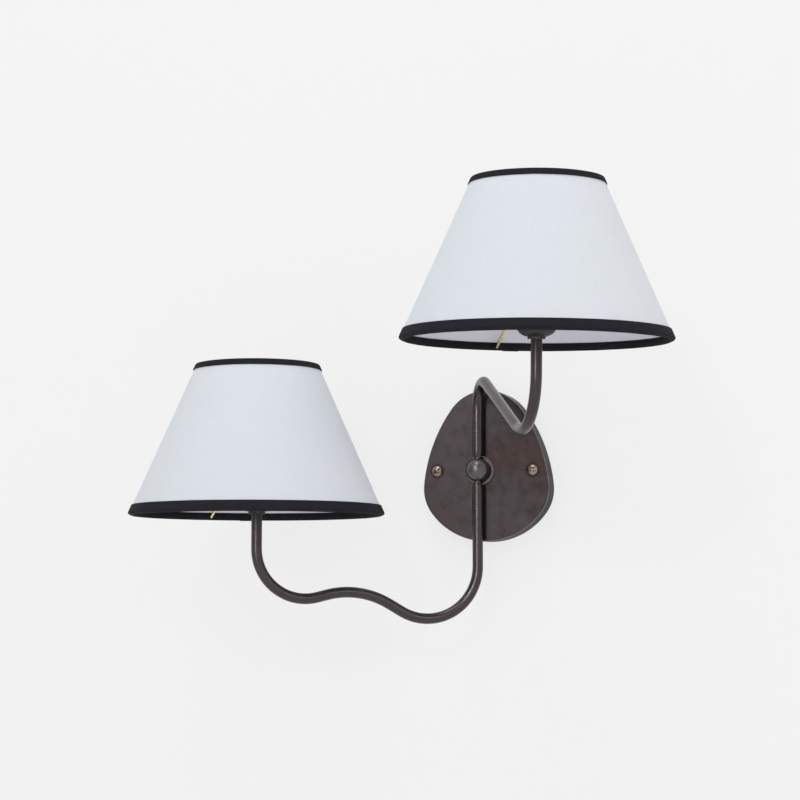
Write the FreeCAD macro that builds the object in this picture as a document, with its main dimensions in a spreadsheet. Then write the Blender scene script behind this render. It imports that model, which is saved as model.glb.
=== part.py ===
import FreeCAD
import Part
import Sketcher
import math
import os

# A wall light with two bent-tube arms. An egg-shaped wall plate carries a small ball, and each
# arm turns in that ball about one upright axis. Each arm ends in a lampholder with a cloth shade.
#
# Frame, in millimetres: the wall is the plane Y = 0 and the room is at -Y, so -Y points out of
# the wall. X runs along the wall to the right and Z points up. The origin is on the wall, midway
# between the two screws that hold the wall plate.
#
# Wall pieces are modelled in a wall frame: X along the wall, Y up, Z out of the wall.
# Arm pieces are modelled in an arm frame: Z up the hub axis, X along the arm, origin in the ball.
# Head pieces are modelled in a head frame: Z up the lampholder, origin level with the middle of
# the shade's bottom trim.

DIMENSIONS = {
    # wall plate: an egg outline of six tangent arcs, wide part low
    "plate_depth": 22.0,
    "plate_skin": 2.0,
    "plate_edge": 1.2,
    "plate_offset": 1.3,
    "plate_top": 73.5,
    "plate_crown_radius": 40.0,
    "plate_side_radius": 140.0,
    "plate_shoulder_radius": 37.5,
    "plate_base_radius": 63.6,
    "plate_crown_joint": 57.0,
    "plate_shoulder_joint": -12.9,
    # the cross-shaped bracket behind the plate and the screws
    "screw_spacing": 88.9,
    "strap_length": 104.0,
    "strap_width": 16.0,
    "strap_thickness": 2.0,
    "strap_hub_diameter": 44.0,
    "wire_hole_diameter": 24.0,
    "collar_diameter": 8.0,
    "collar_length": 4.0,
    "slot_width": 4.8,
    "slot_length": 10.0,
    "screw_diameter": 4.0,
    "screw_head_diameter": 9.6,
    "screw_head_height": 3.2,
    "screw_dome_radius": 6.2,
    "recess_width": 1.1,
    "recess_length": 5.2,
    "recess_depth": 1.8,
    "ground_screw_across": 30.0,
    "ground_head_diameter": 7.8,
    "ground_head_height": 3.0,
    # hub: rosette, ball, the hollow nipple that holds them to the plate, and two pivot screws
    "hub_across": -4.2,
    "hub_out": 32.5,
    "ball_radius": 10.65,
    "rosette_diameter": 26.6,
    "rosette_thickness": 3.0,
    "rosette_edge": 0.8,
    "nipple_diameter": 8.0,
    "nipple_bore": 5.4,
    "nipple_inner_end": 10.5,
    "nipple_outer_end": 28.9,
    "washer_diameter": 15.0,
    "washer_thickness": 0.8,
    "nut_across_flats": 13.0,
    "nut_thickness": 4.0,
    "pivot_screw_height": 6.0,
    "pivot_screw_diameter": 3.0,
    "pivot_screw_back": 25.1,
    "pivot_screw_step": 28.3,
    "pivot_screw_tip": 29.9,
    "pivot_tip_diameter": 2.0,
    # the hollow spigot on which each arm turns
    "spigot_diameter": 6.0,
    "spigot_bore": 3.2,
    "spigot_inner_end": 2.0,
    "spigot_outer_end": 20.0,
    "groove_diameter": 4.6,
    "groove_width": 2.8,
    "running_gap": 0.05,
    "seat_gap": 0.05,
    # arm tubes
    "tube_diameter": 9.6,
    "tube_bore": 8.0,
    "neck_diameter": 7.4,
    "neck_bore": 6.1,
    "neck_end": 10.6,
    "neck_top": 22.0,
    "reach": 202.5,
    "lower_swing": 209.2,
    "lower_head_height": -38.8,
    "lower_lean": 0.0,
    "lower_stem": 65.2,
    "lower_link": 14.0,
    "lower_bowl_radius": 47.0,
    "lower_bowl_heading": -30.2,
    "lower_crest_radius": 75.0,
    "lower_crest_heading": 14.0,
    "lower_sweep_radius": 44.0,
    "lower_spoke_angle": 43.0,
    "upper_swing": -62.9,
    "upper_head_height": 98.2,
    "upper_lean": 2.5,
    "upper_stem": 33.8,
    "upper_crest_radius": 22.1,
    "upper_crest_heading": -24.1,
    "upper_sweep_radius": 45.2,
    "upper_spoke_angle": 63.0,
    # lampholder, from the arm upwards
    "tube_end": -3.0,
    "head_washer_diameter": 15.0,
    "head_washer_thickness": 2.1,
    "head_nipple_diameter": 7.9,
    "head_nipple_bore": 5.4,
    "head_nipple_low": -18.0,
    "head_nipple_high": 7.0,
    "cup_diameter": 32.0,
    "cup_floor_diameter": 20.0,
    "cup_height": 9.5,
    "cup_skin": 1.2,
    "cup_round": 5.0,
    "cup_bulge": 1.8,
    "cup_edge": 2.4,
    "cup_inner_floor_diameter": 19.2,
    "cup_inner_knee_diameter": 26.6,
    "cup_inner_knee": 3.4,
    "cup_inner_round": 5.4,
    "head_nut_across_flats": 12.0,
    "head_nut_thickness": 3.0,
    "holder_diameter": 26.0,
    "holder_wall": 2.0,
    "holder_floor": 2.5,
    "holder_foot_diameter": 18.0,
    "holder_foot_height": 2.4,
    "holder_height": 21.0,
    "skirt_diameter": 28.0,
    "skirt_bore": 24.0,
    "skirt_mouth": 16.6,
    "skirt_low": 21.4,
    "skirt_high": 57.0,
    "skirt_roof": 2.0,
    "skirt_flange_diameter": 37.0,
    "skirt_flange_low": 49.5,
    "skirt_flange_high": 51.5,
    "core_diameter": 20.0,
    "core_low": 9.0,
    "core_high": 29.0,
    "shell_diameter": 15.6,
    "shell_bore": 14.4,
    "shell_high": 54.0,
    "contact_diameter": 5.0,
    "contact_height": 1.5,
    "shade_ring_diameter": 38.0,
    "shade_ring_height": 5.0,
    # lamp
    "lamp_cap_diameter": 13.9,
    "lamp_cap_high": 51.0,
    "lamp_globe_diameter": 45.0,
    "lamp_globe_height": 84.5,
    "lamp_neck_diameter": 13.6,
    "lamp_neck_high": 58.0,
    "lamp_flare_diameter": 32.0,
    "lamp_flare_high": 69.0,
    "lamp_glass": 0.8,
    # shade: a cloth cone on a stiff liner, bound with cloth tape round two wire rings
    "shade_bottom_radius": 110.6,
    "shade_top_radius": 55.0,
    "shade_rise": 126.2,
    "cloth_thickness": 0.4,
    "liner_thickness": 0.6,
    "cloth_below": 3.2,
    "cloth_above": 1.7,
    "tape_thickness": 1.1,
    "bottom_tape_below": 4.2,
    "bottom_tape_above": 4.5,
    "bottom_tape_depth": 4.1,
    "bottom_tape_round": 1.6,
    "top_tape_half": 2.9,
    "top_tape_depth": 3.4,
    "top_tape_round": 1.0,
    "bottom_ring_radius": 109.25,
    "bottom_ring_height": -2.67,
    "bottom_wire_radius": 1.25,
    "top_ring_radius": 53.1,
    "top_ring_height": 125.36,
    "top_wire_radius": 1.0,
    # wire carrier that hangs the shade on the lampholder
    "fitter_bore": 28.6,
    "fitter_diameter": 44.0,
    "fitter_thickness": 1.5,
    "spoke_radius": 1.4,
    "spoke_inner_radius": 20.9,
}
SPOKES = 3

doc = FreeCAD.newDocument("double_arm_wall_sconce")
sheet = doc.addObject("Spreadsheet::Sheet", "Dims")
for row, (alias, value) in enumerate(DIMENSIONS.items(), start=1):
    sheet.set(f"A{row}", alias.replace("_", " "))
    sheet.set(f"B{row}", str(value))
    sheet.setAlias(f"B{row}", alias)
doc.recompute()

sub_parts = []


def d(alias):
    """The dimension's number."""
    return DIMENSIONS[alias]


def keep(piece, label):
    """Names a finished sub-part, which is then written to its own file."""
    piece.Label = label
    sub_parts.append(piece)
    return piece


# ---- placements --------------------------------------------------------------------------------

def wall_frame(across=0.0, up=0.0):
    """Local Z points out of the wall and local Y points up."""
    turn = FreeCAD.Rotation(FreeCAD.Vector(1, 0, 0), 90)
    return FreeCAD.Placement(FreeCAD.Vector(across, 0, up), turn)


def arm_frame(side):
    """Local Z is the hub axis and local X runs out along the arm."""
    turn = FreeCAD.Rotation(FreeCAD.Vector(0, 0, 1), d(f"{side}_swing"))
    return FreeCAD.Placement(FreeCAD.Vector(d("hub_across"), -d("hub_out"), 0), turn)


def stem_frame(side):
    """The arm frame, turned over for the lower arm, whose tube leaves the ball downwards."""
    over = 180 if side == "lower" else 0
    turn = FreeCAD.Rotation(FreeCAD.Vector(1, 0, 0), over)
    return arm_frame(side) * FreeCAD.Placement(FreeCAD.Vector(0, 0, 0), turn)


def head_frame(side):
    """Local Z is the lampholder's axis, which may lean outwards along the arm."""
    lean = FreeCAD.Rotation(FreeCAD.Vector(0, 1, 0), d(f"{side}_lean"))
    place = FreeCAD.Vector(d("reach"), 0, d(f"{side}_head_height"))
    return arm_frame(side) * FreeCAD.Placement(place, lean)


# ---- building blocks ---------------------------------------------------------------------------

def origin_plane(body, role):
    """The body's own origin plane of that role."""
    return [plane for plane in body.Origin.OriginFeatures if plane.Role == role][0]


def new_sketch(body, role, name, height="0"):
    """A sketch on one of the body's origin planes, lifted by an expression."""
    sketch = body.newObject("Sketcher::SketchObject", name)
    sketch.AttachmentSupport = (origin_plane(body, role), [""])
    sketch.MapMode = "FlatFace"
    sketch.setExpression("AttachmentOffset.Base.z", height)
    return sketch


def bind(sketch, constraint, expression):
    """Adds a constraint whose value follows the expression."""
    index = sketch.addConstraint(constraint)
    sketch.setExpression(f"Constraints[{index}]", expression)


def bind_point(sketch, edge, end, across, up):
    """Fixes one end of an edge at two expressions, measured from the sketch's origin."""
    point = sketch.getPoint(edge, end)
    bind(sketch, Sketcher.Constraint("DistanceX", -1, 1, edge, end, point.x), across)
    bind(sketch, Sketcher.Constraint("DistanceY", -1, 1, edge, end, point.y), up)


def draw_corners(sketch, corners):
    """A closed outline with straight sides through (across, up) expressions.

    The sides start on a unit circle, and their constraints move them to their places.
    """
    count = len(corners)
    angles = [2 * math.pi * index / count for index in range(count)]
    ring = [FreeCAD.Vector(math.cos(angle), math.sin(angle), 0) for angle in angles]
    for index in range(count):
        sketch.addGeometry(Part.LineSegment(ring[index], ring[(index + 1) % count]))
    for index in range(count):
        sketch.addConstraint(Sketcher.Constraint("Coincident", index, 2, (index + 1) % count, 1))
    for index, (across, up) in enumerate(corners):
        bind_point(sketch, index, 1, across, up)


def turned(name, corners, placement):
    """A piece turned about its local Z from a half section of (radius, height) expressions."""
    body = doc.addObject("PartDesign::Body", name)
    sketch = new_sketch(body, "XZ_Plane", f"{name}_section")
    draw_corners(sketch, corners)
    turn = body.newObject("PartDesign::Revolution", f"{name}_turn")
    turn.Profile = sketch
    turn.ReferenceAxis = (sketch, ["V_Axis"])
    turn.Angle = 360
    body.Placement = placement
    return body


def sleeve(name, bore, outside, low, high, placement):
    """A plain hollow cylinder. Bore and outside are diameters."""
    inner = f"({bore}) / 2"
    outer = f"({outside}) / 2"
    return turned(name, [(inner, low), (outer, low), (outer, high), (inner, high)], placement)


def solid(kind, name, sizes, placement=FreeCAD.Placement()):
    """A primitive solid whose named properties follow expressions."""
    piece = doc.addObject(kind, name)
    piece.Placement = placement
    for name_of_size, expression in sizes.items():
        piece.setExpression(name_of_size, expression)
    return piece


def rod(name, diameter, length, placement):
    """A cylinder along its local Z."""
    return solid("Part::Cylinder", name, {"Radius": f"({diameter}) / 2", "Height": length}, placement)


def block(name, length, width, height, placement):
    """A box from its local origin."""
    return solid("Part::Box", name, {"Length": length, "Width": width, "Height": height}, placement)


def joined(name, pieces):
    fuse = doc.addObject("Part::MultiFuse", name)
    fuse.Shapes = pieces
    return fuse


def cut(name, base, tool):
    result = doc.addObject("Part::Cut", name)
    result.Base = base
    result.Tool = tool
    return result


def lifted(frame, across=0.0, along=0.0, up=0.0):
    """The frame moved by numbers along its own axes."""
    return frame * FreeCAD.Placement(FreeCAD.Vector(across, along, up), FreeCAD.Rotation())


def round_edges(body, name, radius, wanted):
    """Rounds the edges of the body that the test picks."""
    doc.recompute()
    base = body.Tip
    edges = [f"Edge{i}" for i, edge in enumerate(base.Shape.Edges, start=1) if wanted(edge)]
    fillet = body.newObject("PartDesign::Fillet", name)
    fillet.Base = (base, edges)
    fillet.setExpression("Radius", radius)


# ---- wall plate --------------------------------------------------------------------------------

def egg_arcs():
    """The six arcs of the plate's outline, clockwise from the crown, as numbers."""
    crown_radius = d("plate_crown_radius")
    side_radius = d("plate_side_radius")
    shoulder_radius = d("plate_shoulder_radius")
    base_radius = d("plate_base_radius")
    crown_height = d("plate_top") - crown_radius
    crown_angle = math.asin((d("plate_crown_joint") - crown_height) / crown_radius)
    side_x = (crown_radius - side_radius) * math.cos(crown_angle)
    side_y = crown_height + (crown_radius - side_radius) * math.sin(crown_angle)
    side_angle = math.asin((d("plate_shoulder_joint") - side_y) / side_radius)
    shoulder_x = side_x + (side_radius - shoulder_radius) * math.cos(side_angle)
    shoulder_y = side_y + (side_radius - shoulder_radius) * math.sin(side_angle)
    base_angle = -math.acos(shoulder_x / (base_radius - shoulder_radius))
    base_y = shoulder_y - (base_radius - shoulder_radius) * math.sin(base_angle)
    right = (
        ((side_x, side_y), side_radius, side_angle, crown_angle),
        ((shoulder_x, shoulder_y), shoulder_radius, base_angle, side_angle),
    )
    left = [((-x, y), radius, math.pi - end, math.pi - start) for (x, y), radius, start, end in right]
    crown = ((0, crown_height), crown_radius, crown_angle, math.pi - crown_angle)
    base = ((0, base_y), base_radius, -math.pi - base_angle, base_angle)
    return [crown, left[0], left[1], base, right[1], right[0]]


def draw_egg(sketch):
    """Six tangent arcs: crown, left side, left shoulder, base, right shoulder, right side."""
    for (x, y), radius, start, end in egg_arcs():
        circle = Part.Circle(FreeCAD.Vector(x, y, 0), FreeCAD.Vector(0, 0, 1), radius)
        sketch.addGeometry(Part.ArcOfCircle(circle, start, end))
    crown, left_side, left_shoulder, base, right_shoulder, right_side = range(6)
    for arc in range(6):
        sketch.addConstraint(Sketcher.Constraint("Tangent", arc, 2, (arc + 1) % 6, 1))
    radii = {
        crown: "crown",
        right_side: "side",
        right_shoulder: "shoulder",
        base: "base",
    }
    for arc, name in radii.items():
        radius = d(f"plate_{name}_radius")
        bind(sketch, Sketcher.Constraint("Radius", arc, radius), f"Dims.plate_{name}_radius")
    sketch.addConstraint(Sketcher.Constraint("Equal", left_side, right_side))
    sketch.addConstraint(Sketcher.Constraint("Equal", left_shoulder, right_shoulder))
    bind_point(sketch, crown, 3, "0", "Dims.plate_top - Dims.plate_crown_radius")
    for arc, end, joint in (
        (left_side, 1, "crown"),
        (right_side, 2, "crown"),
        (left_side, 2, "shoulder"),
        (right_side, 1, "shoulder"),
    ):
        height = sketch.getPoint(arc, end).y
        constraint = Sketcher.Constraint("DistanceY", -1, 1, arc, end, height)
        bind(sketch, constraint, f"Dims.plate_{joint}_joint")


def wall_plate():
    """A hollow dish, open to the wall, with holes for the nipple and the two screws."""
    body = doc.addObject("PartDesign::Body", "wall_plate")
    outline = new_sketch(body, "XY_Plane", "plate_outline")
    draw_egg(outline)
    pad = body.newObject("PartDesign::Pad", "plate_pad")
    pad.Profile = outline
    pad.setExpression("Length", "Dims.plate_depth")
    doc.recompute()
    wall_side = [
        f"Face{i}" for i, face in enumerate(pad.Shape.Faces, start=1)
        if face.BoundBox.ZMax < 0.01
    ]
    hollow = body.newObject("PartDesign::Thickness", "plate_hollow")
    hollow.Base = (pad, wall_side)
    hollow.setExpression("Value", "Dims.plate_skin")
    hollow.Reversed = True
    round_edges(body, "plate_edge_round", "Dims.plate_edge", is_front_rim)
    holes = new_sketch(body, "XY_Plane", "plate_holes")
    hole_list = (
        ("-Dims.screw_spacing / 2 - Dims.plate_offset", "Dims.screw_diameter + 0.6"),
        ("Dims.screw_spacing / 2 - Dims.plate_offset", "Dims.screw_diameter + 0.6"),
        ("Dims.hub_across - Dims.plate_offset", "Dims.nipple_diameter + 0.4"),
    )
    draw_holes(holes, hole_list)
    drilled = body.newObject("PartDesign::Pocket", "plate_drilled")
    drilled.Profile = holes
    drilled.Type = "ThroughAll"
    drilled.Midplane = True
    body.Placement = wall_frame(d("plate_offset"))
    keep(body, "wall_plate")


def is_front_rim(edge):
    """The plate's outer edge at the front face, in the body's own frame."""
    box = edge.BoundBox
    return box.ZMin > d("plate_depth") - d("plate_skin") / 2


def draw_holes(sketch, holes):
    """Circles on the sketch's X axis at (across, diameter) expressions."""
    for index, (across, diameter) in enumerate(holes):
        centre = FreeCAD.Vector(10.0 * index, 0, 0)
        sketch.addGeometry(Part.Circle(centre, FreeCAD.Vector(0, 0, 1), 1.0))
        bind_point(sketch, index, 3, across, "0")
        bind(sketch, Sketcher.Constraint("Diameter", index, 2.0), diameter)


# ---- bracket and screws ------------------------------------------------------------------------

def mounting_bracket():
    """A steel cross. Its level bar takes the plate's screws, its upright bar the wall's."""
    wall = wall_frame()
    straight = d("strap_length") - d("strap_width")
    pieces = [rod("bracket_disc", "Dims.strap_hub_diameter", "Dims.strap_thickness", wall)]
    holes = [rod("bracket_wire_hole", "Dims.wire_hole_diameter", "Dims.strap_thickness", wall)]
    for bar, angle in (("level", 0), ("upright", 90)):
        turn = FreeCAD.Placement(FreeCAD.Vector(), FreeCAD.Rotation(angle, 0, 0))
        start = lifted(wall * turn, -straight / 2, -d("strap_width") / 2)
        size = "Dims.strap_length - Dims.strap_width"
        pieces.append(block(f"bracket_{bar}", size, "Dims.strap_width", "Dims.strap_thickness", start))
        for end in (-1, 1):
            tip = lifted(wall * turn, end * straight / 2)
            name = f"bracket_{bar}_end_{'low' if end < 0 else 'high'}"
            pieces.append(rod(name, "Dims.strap_width", "Dims.strap_thickness", tip))
    half = d("screw_spacing") / 2
    run = d("slot_length") - d("slot_width")
    for end in (-1, 1):
        word = "low" if end < 0 else "high"
        tapped = lifted(wall, end * half)
        collar = "Dims.strap_thickness + Dims.collar_length"
        pieces.append(rod(f"bracket_collar_{word}", "Dims.collar_diameter", collar, tapped))
        tap_size = "Dims.screw_diameter + 2 * Dims.seat_gap"
        holes.append(rod(f"bracket_tapped_{word}", tap_size, collar, tapped))
        slot_start = lifted(wall, -d("slot_width") / 2, end * half - run / 2)
        slot_run = "Dims.slot_length - Dims.slot_width"
        holes.append(block(f"slot_{word}", "Dims.slot_width", slot_run, "Dims.strap_thickness", slot_start))
        for side in (-1, 1):
            name = f"slot_{word}_end_{'low' if side < 0 else 'high'}"
            tip = lifted(wall, 0, end * half + side * run / 2)
            holes.append(rod(name, "Dims.slot_width", "Dims.strap_thickness", tip))
    ground = lifted(wall, d("ground_screw_across"))
    ground_tap = "Dims.screw_diameter + 2 * Dims.seat_gap"
    holes.append(rod("bracket_ground_hole", ground_tap, "Dims.strap_thickness", ground))
    keep(cut("bracket_cut", joined("bracket_blank", pieces), joined("bracket_holes", holes)),
         "mounting_bracket")


def canopy_screw(word, across):
    """A domed machine screw with a cross recess, from the plate's face to the bracket."""
    frame = wall_frame(across)
    under_head = lifted(frame, 0, 0, d("plate_depth"))
    shank_start = lifted(frame, 0, 0, d("strap_thickness"))
    shank_length = "Dims.plate_depth - Dims.strap_thickness"
    shank = rod(f"screw_shank_{word}", "Dims.screw_diameter", shank_length, shank_start)
    blank = rod(f"screw_blank_{word}", "Dims.screw_head_diameter", "Dims.screw_head_height", under_head)
    dome_centre = d("plate_depth") + d("screw_head_height") - d("screw_dome_radius")
    dome = solid("Part::Sphere", f"screw_dome_{word}", {"Radius": "Dims.screw_dome_radius"},
                 lifted(frame, 0, 0, dome_centre))
    head = doc.addObject("Part::MultiCommon", f"screw_head_{word}")
    head.Shapes = [blank, dome]
    slots = []
    top = d("plate_depth") + d("screw_head_height") - d("recess_depth")
    for name, angle in (("first", 45), ("second", 135)):
        turn = FreeCAD.Placement(FreeCAD.Vector(), FreeCAD.Rotation(angle, 0, 0))
        corner = lifted(frame * turn, -d("recess_length") / 2, -d("recess_width") / 2, top)
        slots.append(block(f"recess_{name}_{word}", "Dims.recess_length", "Dims.recess_width",
                           "Dims.recess_depth", corner))
    solid_screw = joined(f"screw_solid_{word}", [shank, head])
    return cut(f"screw_{word}", solid_screw, joined(f"recess_{word}", slots))


def canopy_screws():
    half = d("screw_spacing") / 2
    pair = doc.addObject("Part::Compound", "screw_pair")
    pair.Links = [canopy_screw("left", -half), canopy_screw("right", half)]
    keep(pair, "canopy_screws")


def ground_screw():
    """A short screw for the earth wire, in the bracket's level bar."""
    corners = [
        ("0", "0"),
        ("Dims.screw_diameter / 2", "0"),
        ("Dims.screw_diameter / 2", "Dims.strap_thickness"),
        ("Dims.ground_head_diameter / 2", "Dims.strap_thickness"),
        ("Dims.ground_head_diameter / 2", "Dims.strap_thickness + Dims.ground_head_height"),
        ("0", "Dims.strap_thickness + Dims.ground_head_height"),
    ]
    keep(turned("ground_screw", corners, wall_frame(d("ground_screw_across"))), "ground_screw")


# ---- hub ---------------------------------------------------------------------------------------

def hub_rosette():
    """A low collar on the plate's face, hollowed to seat the ball."""
    hub = wall_frame(d("hub_across"))
    bore = "Dims.nipple_diameter / 2 + Dims.seat_gap"
    front = "Dims.plate_depth + Dims.rosette_thickness"
    rim = "Dims.rosette_diameter / 2"
    corners = [
        (bore, "Dims.plate_depth"),
        (rim, "Dims.plate_depth"),
        (rim, f"{front} - Dims.rosette_edge"),
        (f"{rim} - Dims.rosette_edge", front),
        (bore, front),
    ]
    blank = turned("rosette_blank", corners, hub)
    seat = solid("Part::Sphere", "rosette_seat", {"Radius": "Dims.ball_radius"},
                 lifted(hub, 0, 0, d("hub_out")))
    keep(cut("rosette_cut", blank, seat), "hub_rosette")


def hub_ball():
    """A bored ball: one upright bore for both spigots, a nipple bore and two screw bores."""
    hub = wall_frame(d("hub_across"))
    centre = lifted(hub, 0, 0, d("hub_out"))
    ball = solid("Part::Sphere", "ball_blank", {"Radius": "Dims.ball_radius"}, centre)
    bottom = FreeCAD.Vector(d("hub_across"), -d("hub_out"), -d("ball_radius"))
    upright = FreeCAD.Placement(bottom, FreeCAD.Rotation())
    bores = [
        rod("pivot_bore", "Dims.spigot_diameter + 2 * Dims.running_gap", "2 * Dims.ball_radius", upright),
        rod("nipple_bore", "Dims.nipple_diameter + 2 * Dims.seat_gap",
            "Dims.nipple_outer_end + Dims.seat_gap - Dims.plate_depth",
            lifted(hub, 0, 0, d("plate_depth"))),
    ]
    for word, side in (("lower", -1), ("upper", 1)):
        start = lifted(hub, 0, side * d("pivot_screw_height"), d("plate_depth"))
        bores.append(rod(f"{word}_screw_bore", "Dims.pivot_screw_diameter + 2 * Dims.seat_gap",
                         "Dims.hub_out - Dims.plate_depth - Dims.groove_diameter / 2", start))
    keep(cut("ball_cut", ball, joined("ball_bores", bores)), "hub_ball")


def hub_fasteners():
    """The hollow nipple through ball, rosette and plate, with its washer and nut behind."""
    hub = wall_frame(d("hub_across"))
    nipple = sleeve("nipple", "Dims.nipple_bore", "Dims.nipple_diameter",
                    "Dims.nipple_inner_end", "Dims.nipple_outer_end", hub)
    keep(nipple, "hub_nipple")
    behind = "Dims.plate_depth - Dims.plate_skin"
    clear_bore = "Dims.nipple_diameter + 2 * Dims.seat_gap"
    washer = sleeve("washer", clear_bore, "Dims.washer_diameter",
                    f"{behind} - Dims.washer_thickness", behind, hub)
    keep(washer, "hub_lock_washer")
    nut_low = d("plate_depth") - d("plate_skin") - d("washer_thickness") - d("nut_thickness")
    keep(hex_nut("hub_locknut", "Dims.nut_across_flats", clear_bore, "Dims.nut_thickness",
                 lifted(hub, 0, 0, nut_low)), "hub_locknut")


def hex_nut(name, across_flats, bore, thickness, placement):
    """A six-sided nut that stands on its local origin."""
    blank = solid("Part::Prism", f"{name}_blank",
                  {"Circumradius": f"{across_flats} / 2 / cos(30)", "Height": thickness}, placement)
    blank.Polygon = 6
    return cut(f"{name}_cut", blank, rod(f"{name}_bore", bore, thickness, placement))


def pivot_screws():
    """Two small screws in the back of the ball. Each tip runs in a spigot's groove."""
    corners = [
        ("0", "Dims.pivot_screw_back"),
        ("Dims.pivot_screw_diameter / 2", "Dims.pivot_screw_back"),
        ("Dims.pivot_screw_diameter / 2", "Dims.pivot_screw_step"),
        ("Dims.pivot_tip_diameter / 2", "Dims.pivot_screw_step"),
        ("Dims.pivot_tip_diameter / 2", "Dims.pivot_screw_tip"),
        ("0", "Dims.pivot_screw_tip"),
    ]
    pair = doc.addObject("Part::Compound", "pivot_screw_pair")
    pair.Links = [
        turned(f"{word}_pivot_screw", corners,
               wall_frame(d("hub_across"), side * d("pivot_screw_height")))
        for word, side in (("lower", -1), ("upper", 1))
    ]
    keep(pair, "pivot_screws")


# ---- arm tubes ---------------------------------------------------------------------------------

def pivot_spigot(side):
    """A hollow spigot brazed in the tube's neck. Its groove keeps it in the ball."""
    inner = "Dims.spigot_bore / 2"
    outer = "Dims.spigot_diameter / 2"
    groove = "Dims.groove_diameter / 2"
    groove_low = "Dims.pivot_screw_height - Dims.groove_width / 2"
    groove_high = "Dims.pivot_screw_height + Dims.groove_width / 2"
    corners = [
        (inner, "Dims.spigot_inner_end"),
        (outer, "Dims.spigot_inner_end"),
        (outer, groove_low),
        (groove, groove_low),
        (groove, groove_high),
        (outer, groove_high),
        (outer, "Dims.spigot_outer_end"),
        (inner, "Dims.spigot_outer_end"),
    ]
    keep(turned(f"{side}_spigot", corners, stem_frame(side)), f"{side}_pivot_spigot")


def path_end(side, up_sign):
    """The end of the tube's centre line, in the stem frame: across and up, as numbers."""
    lean = math.radians(d(f"{side}_lean"))
    across = d("reach") + d("tube_end") * math.sin(lean)
    up = d(f"{side}_head_height") + d("tube_end") * math.cos(lean)
    return across, up_sign * up


def tube_runs(start, end, headings, radii, known_runs):
    """The lengths of the straight runs. The last two are solved so that the path meets its end."""
    across = end[0] - start[0]
    up = end[1] - start[1]
    for index, radius in enumerate(radii):
        before = math.radians(headings[index])
        after = math.radians(headings[index + 1])
        side = math.copysign(1, after - before)
        across -= side * radius * (math.sin(after) - math.sin(before))
        up += side * radius * (math.cos(after) - math.cos(before))
    for heading, run in zip(headings, known_runs):
        across -= run * math.cos(math.radians(heading))
        up -= run * math.sin(math.radians(heading))
    first, last = (math.radians(heading) for heading in headings[-2:])
    span = math.sin(last - first)
    run_first = (across * math.sin(last) - up * math.cos(last)) / span
    run_last = (up * math.cos(first) - across * math.sin(first)) / span
    return list(known_runs) + [run_first, run_last]


def draw_path(sketch, start, headings, radii, runs):
    """Straight runs joined by tangent arcs. Returns the path's length."""
    place = FreeCAD.Vector(start[0], start[1], 0)
    length = 0.0
    for index, run in enumerate(runs):
        heading = math.radians(headings[index])
        ahead = place + FreeCAD.Vector(math.cos(heading), math.sin(heading), 0) * run
        sketch.addGeometry(Part.LineSegment(place, ahead))
        length += run
        place = ahead
        if index < len(radii):
            after = math.radians(headings[index + 1])
            side = math.copysign(1, after - heading)
            normal = FreeCAD.Vector(-math.sin(heading), math.cos(heading), 0) * side
            centre = place + normal * radii[index]
            begin = heading - side * math.pi / 2
            finish = after - side * math.pi / 2
            circle = Part.Circle(centre, FreeCAD.Vector(0, 0, 1), radii[index])
            angles = (begin, finish) if side > 0 else (finish, begin)
            sketch.addGeometry(Part.ArcOfCircle(circle, *angles))
            length += radii[index] * abs(after - heading)
            place = centre + FreeCAD.Vector(math.cos(finish), math.sin(finish), 0) * radii[index]
    return length


def constrain_path(sketch, headings, bends, known_runs, end):
    """Joins the runs and arcs tangentially and binds them to the sheet."""
    turns = len(bends)
    for index in range(turns):
        arc = 2 * index + 1
        clockwise = headings[index + 1] < headings[index]
        near, far = (2, 1) if clockwise else (1, 2)
        sketch.addConstraint(Sketcher.Constraint("Tangent", arc - 1, 2, arc, near))
        sketch.addConstraint(Sketcher.Constraint("Tangent", arc, far, arc + 1, 1))
        radius = f"{bends[index]}_radius"
        bind(sketch, Sketcher.Constraint("Radius", arc, d(radius)), f"Dims.{radius}")
    bind_point(sketch, 0, 1, "0", "Dims.neck_top")
    sketch.addConstraint(Sketcher.Constraint("Vertical", 0))
    for index, name in enumerate(known_runs):
        bind(sketch, Sketcher.Constraint("Distance", 2 * index, d(name)), f"Dims.{name}")
    for index, bend in enumerate(bends[:-1], start=1):
        heading = Sketcher.Constraint("Angle", 2 * index, math.radians(headings[index]))
        bind(sketch, heading, f"Dims.{bend}_heading")
    last = 2 * turns
    sketch.addConstraint(Sketcher.Constraint("Angle", last, math.radians(headings[-1])))
    bind_point(sketch, last, 2, *end)


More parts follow.
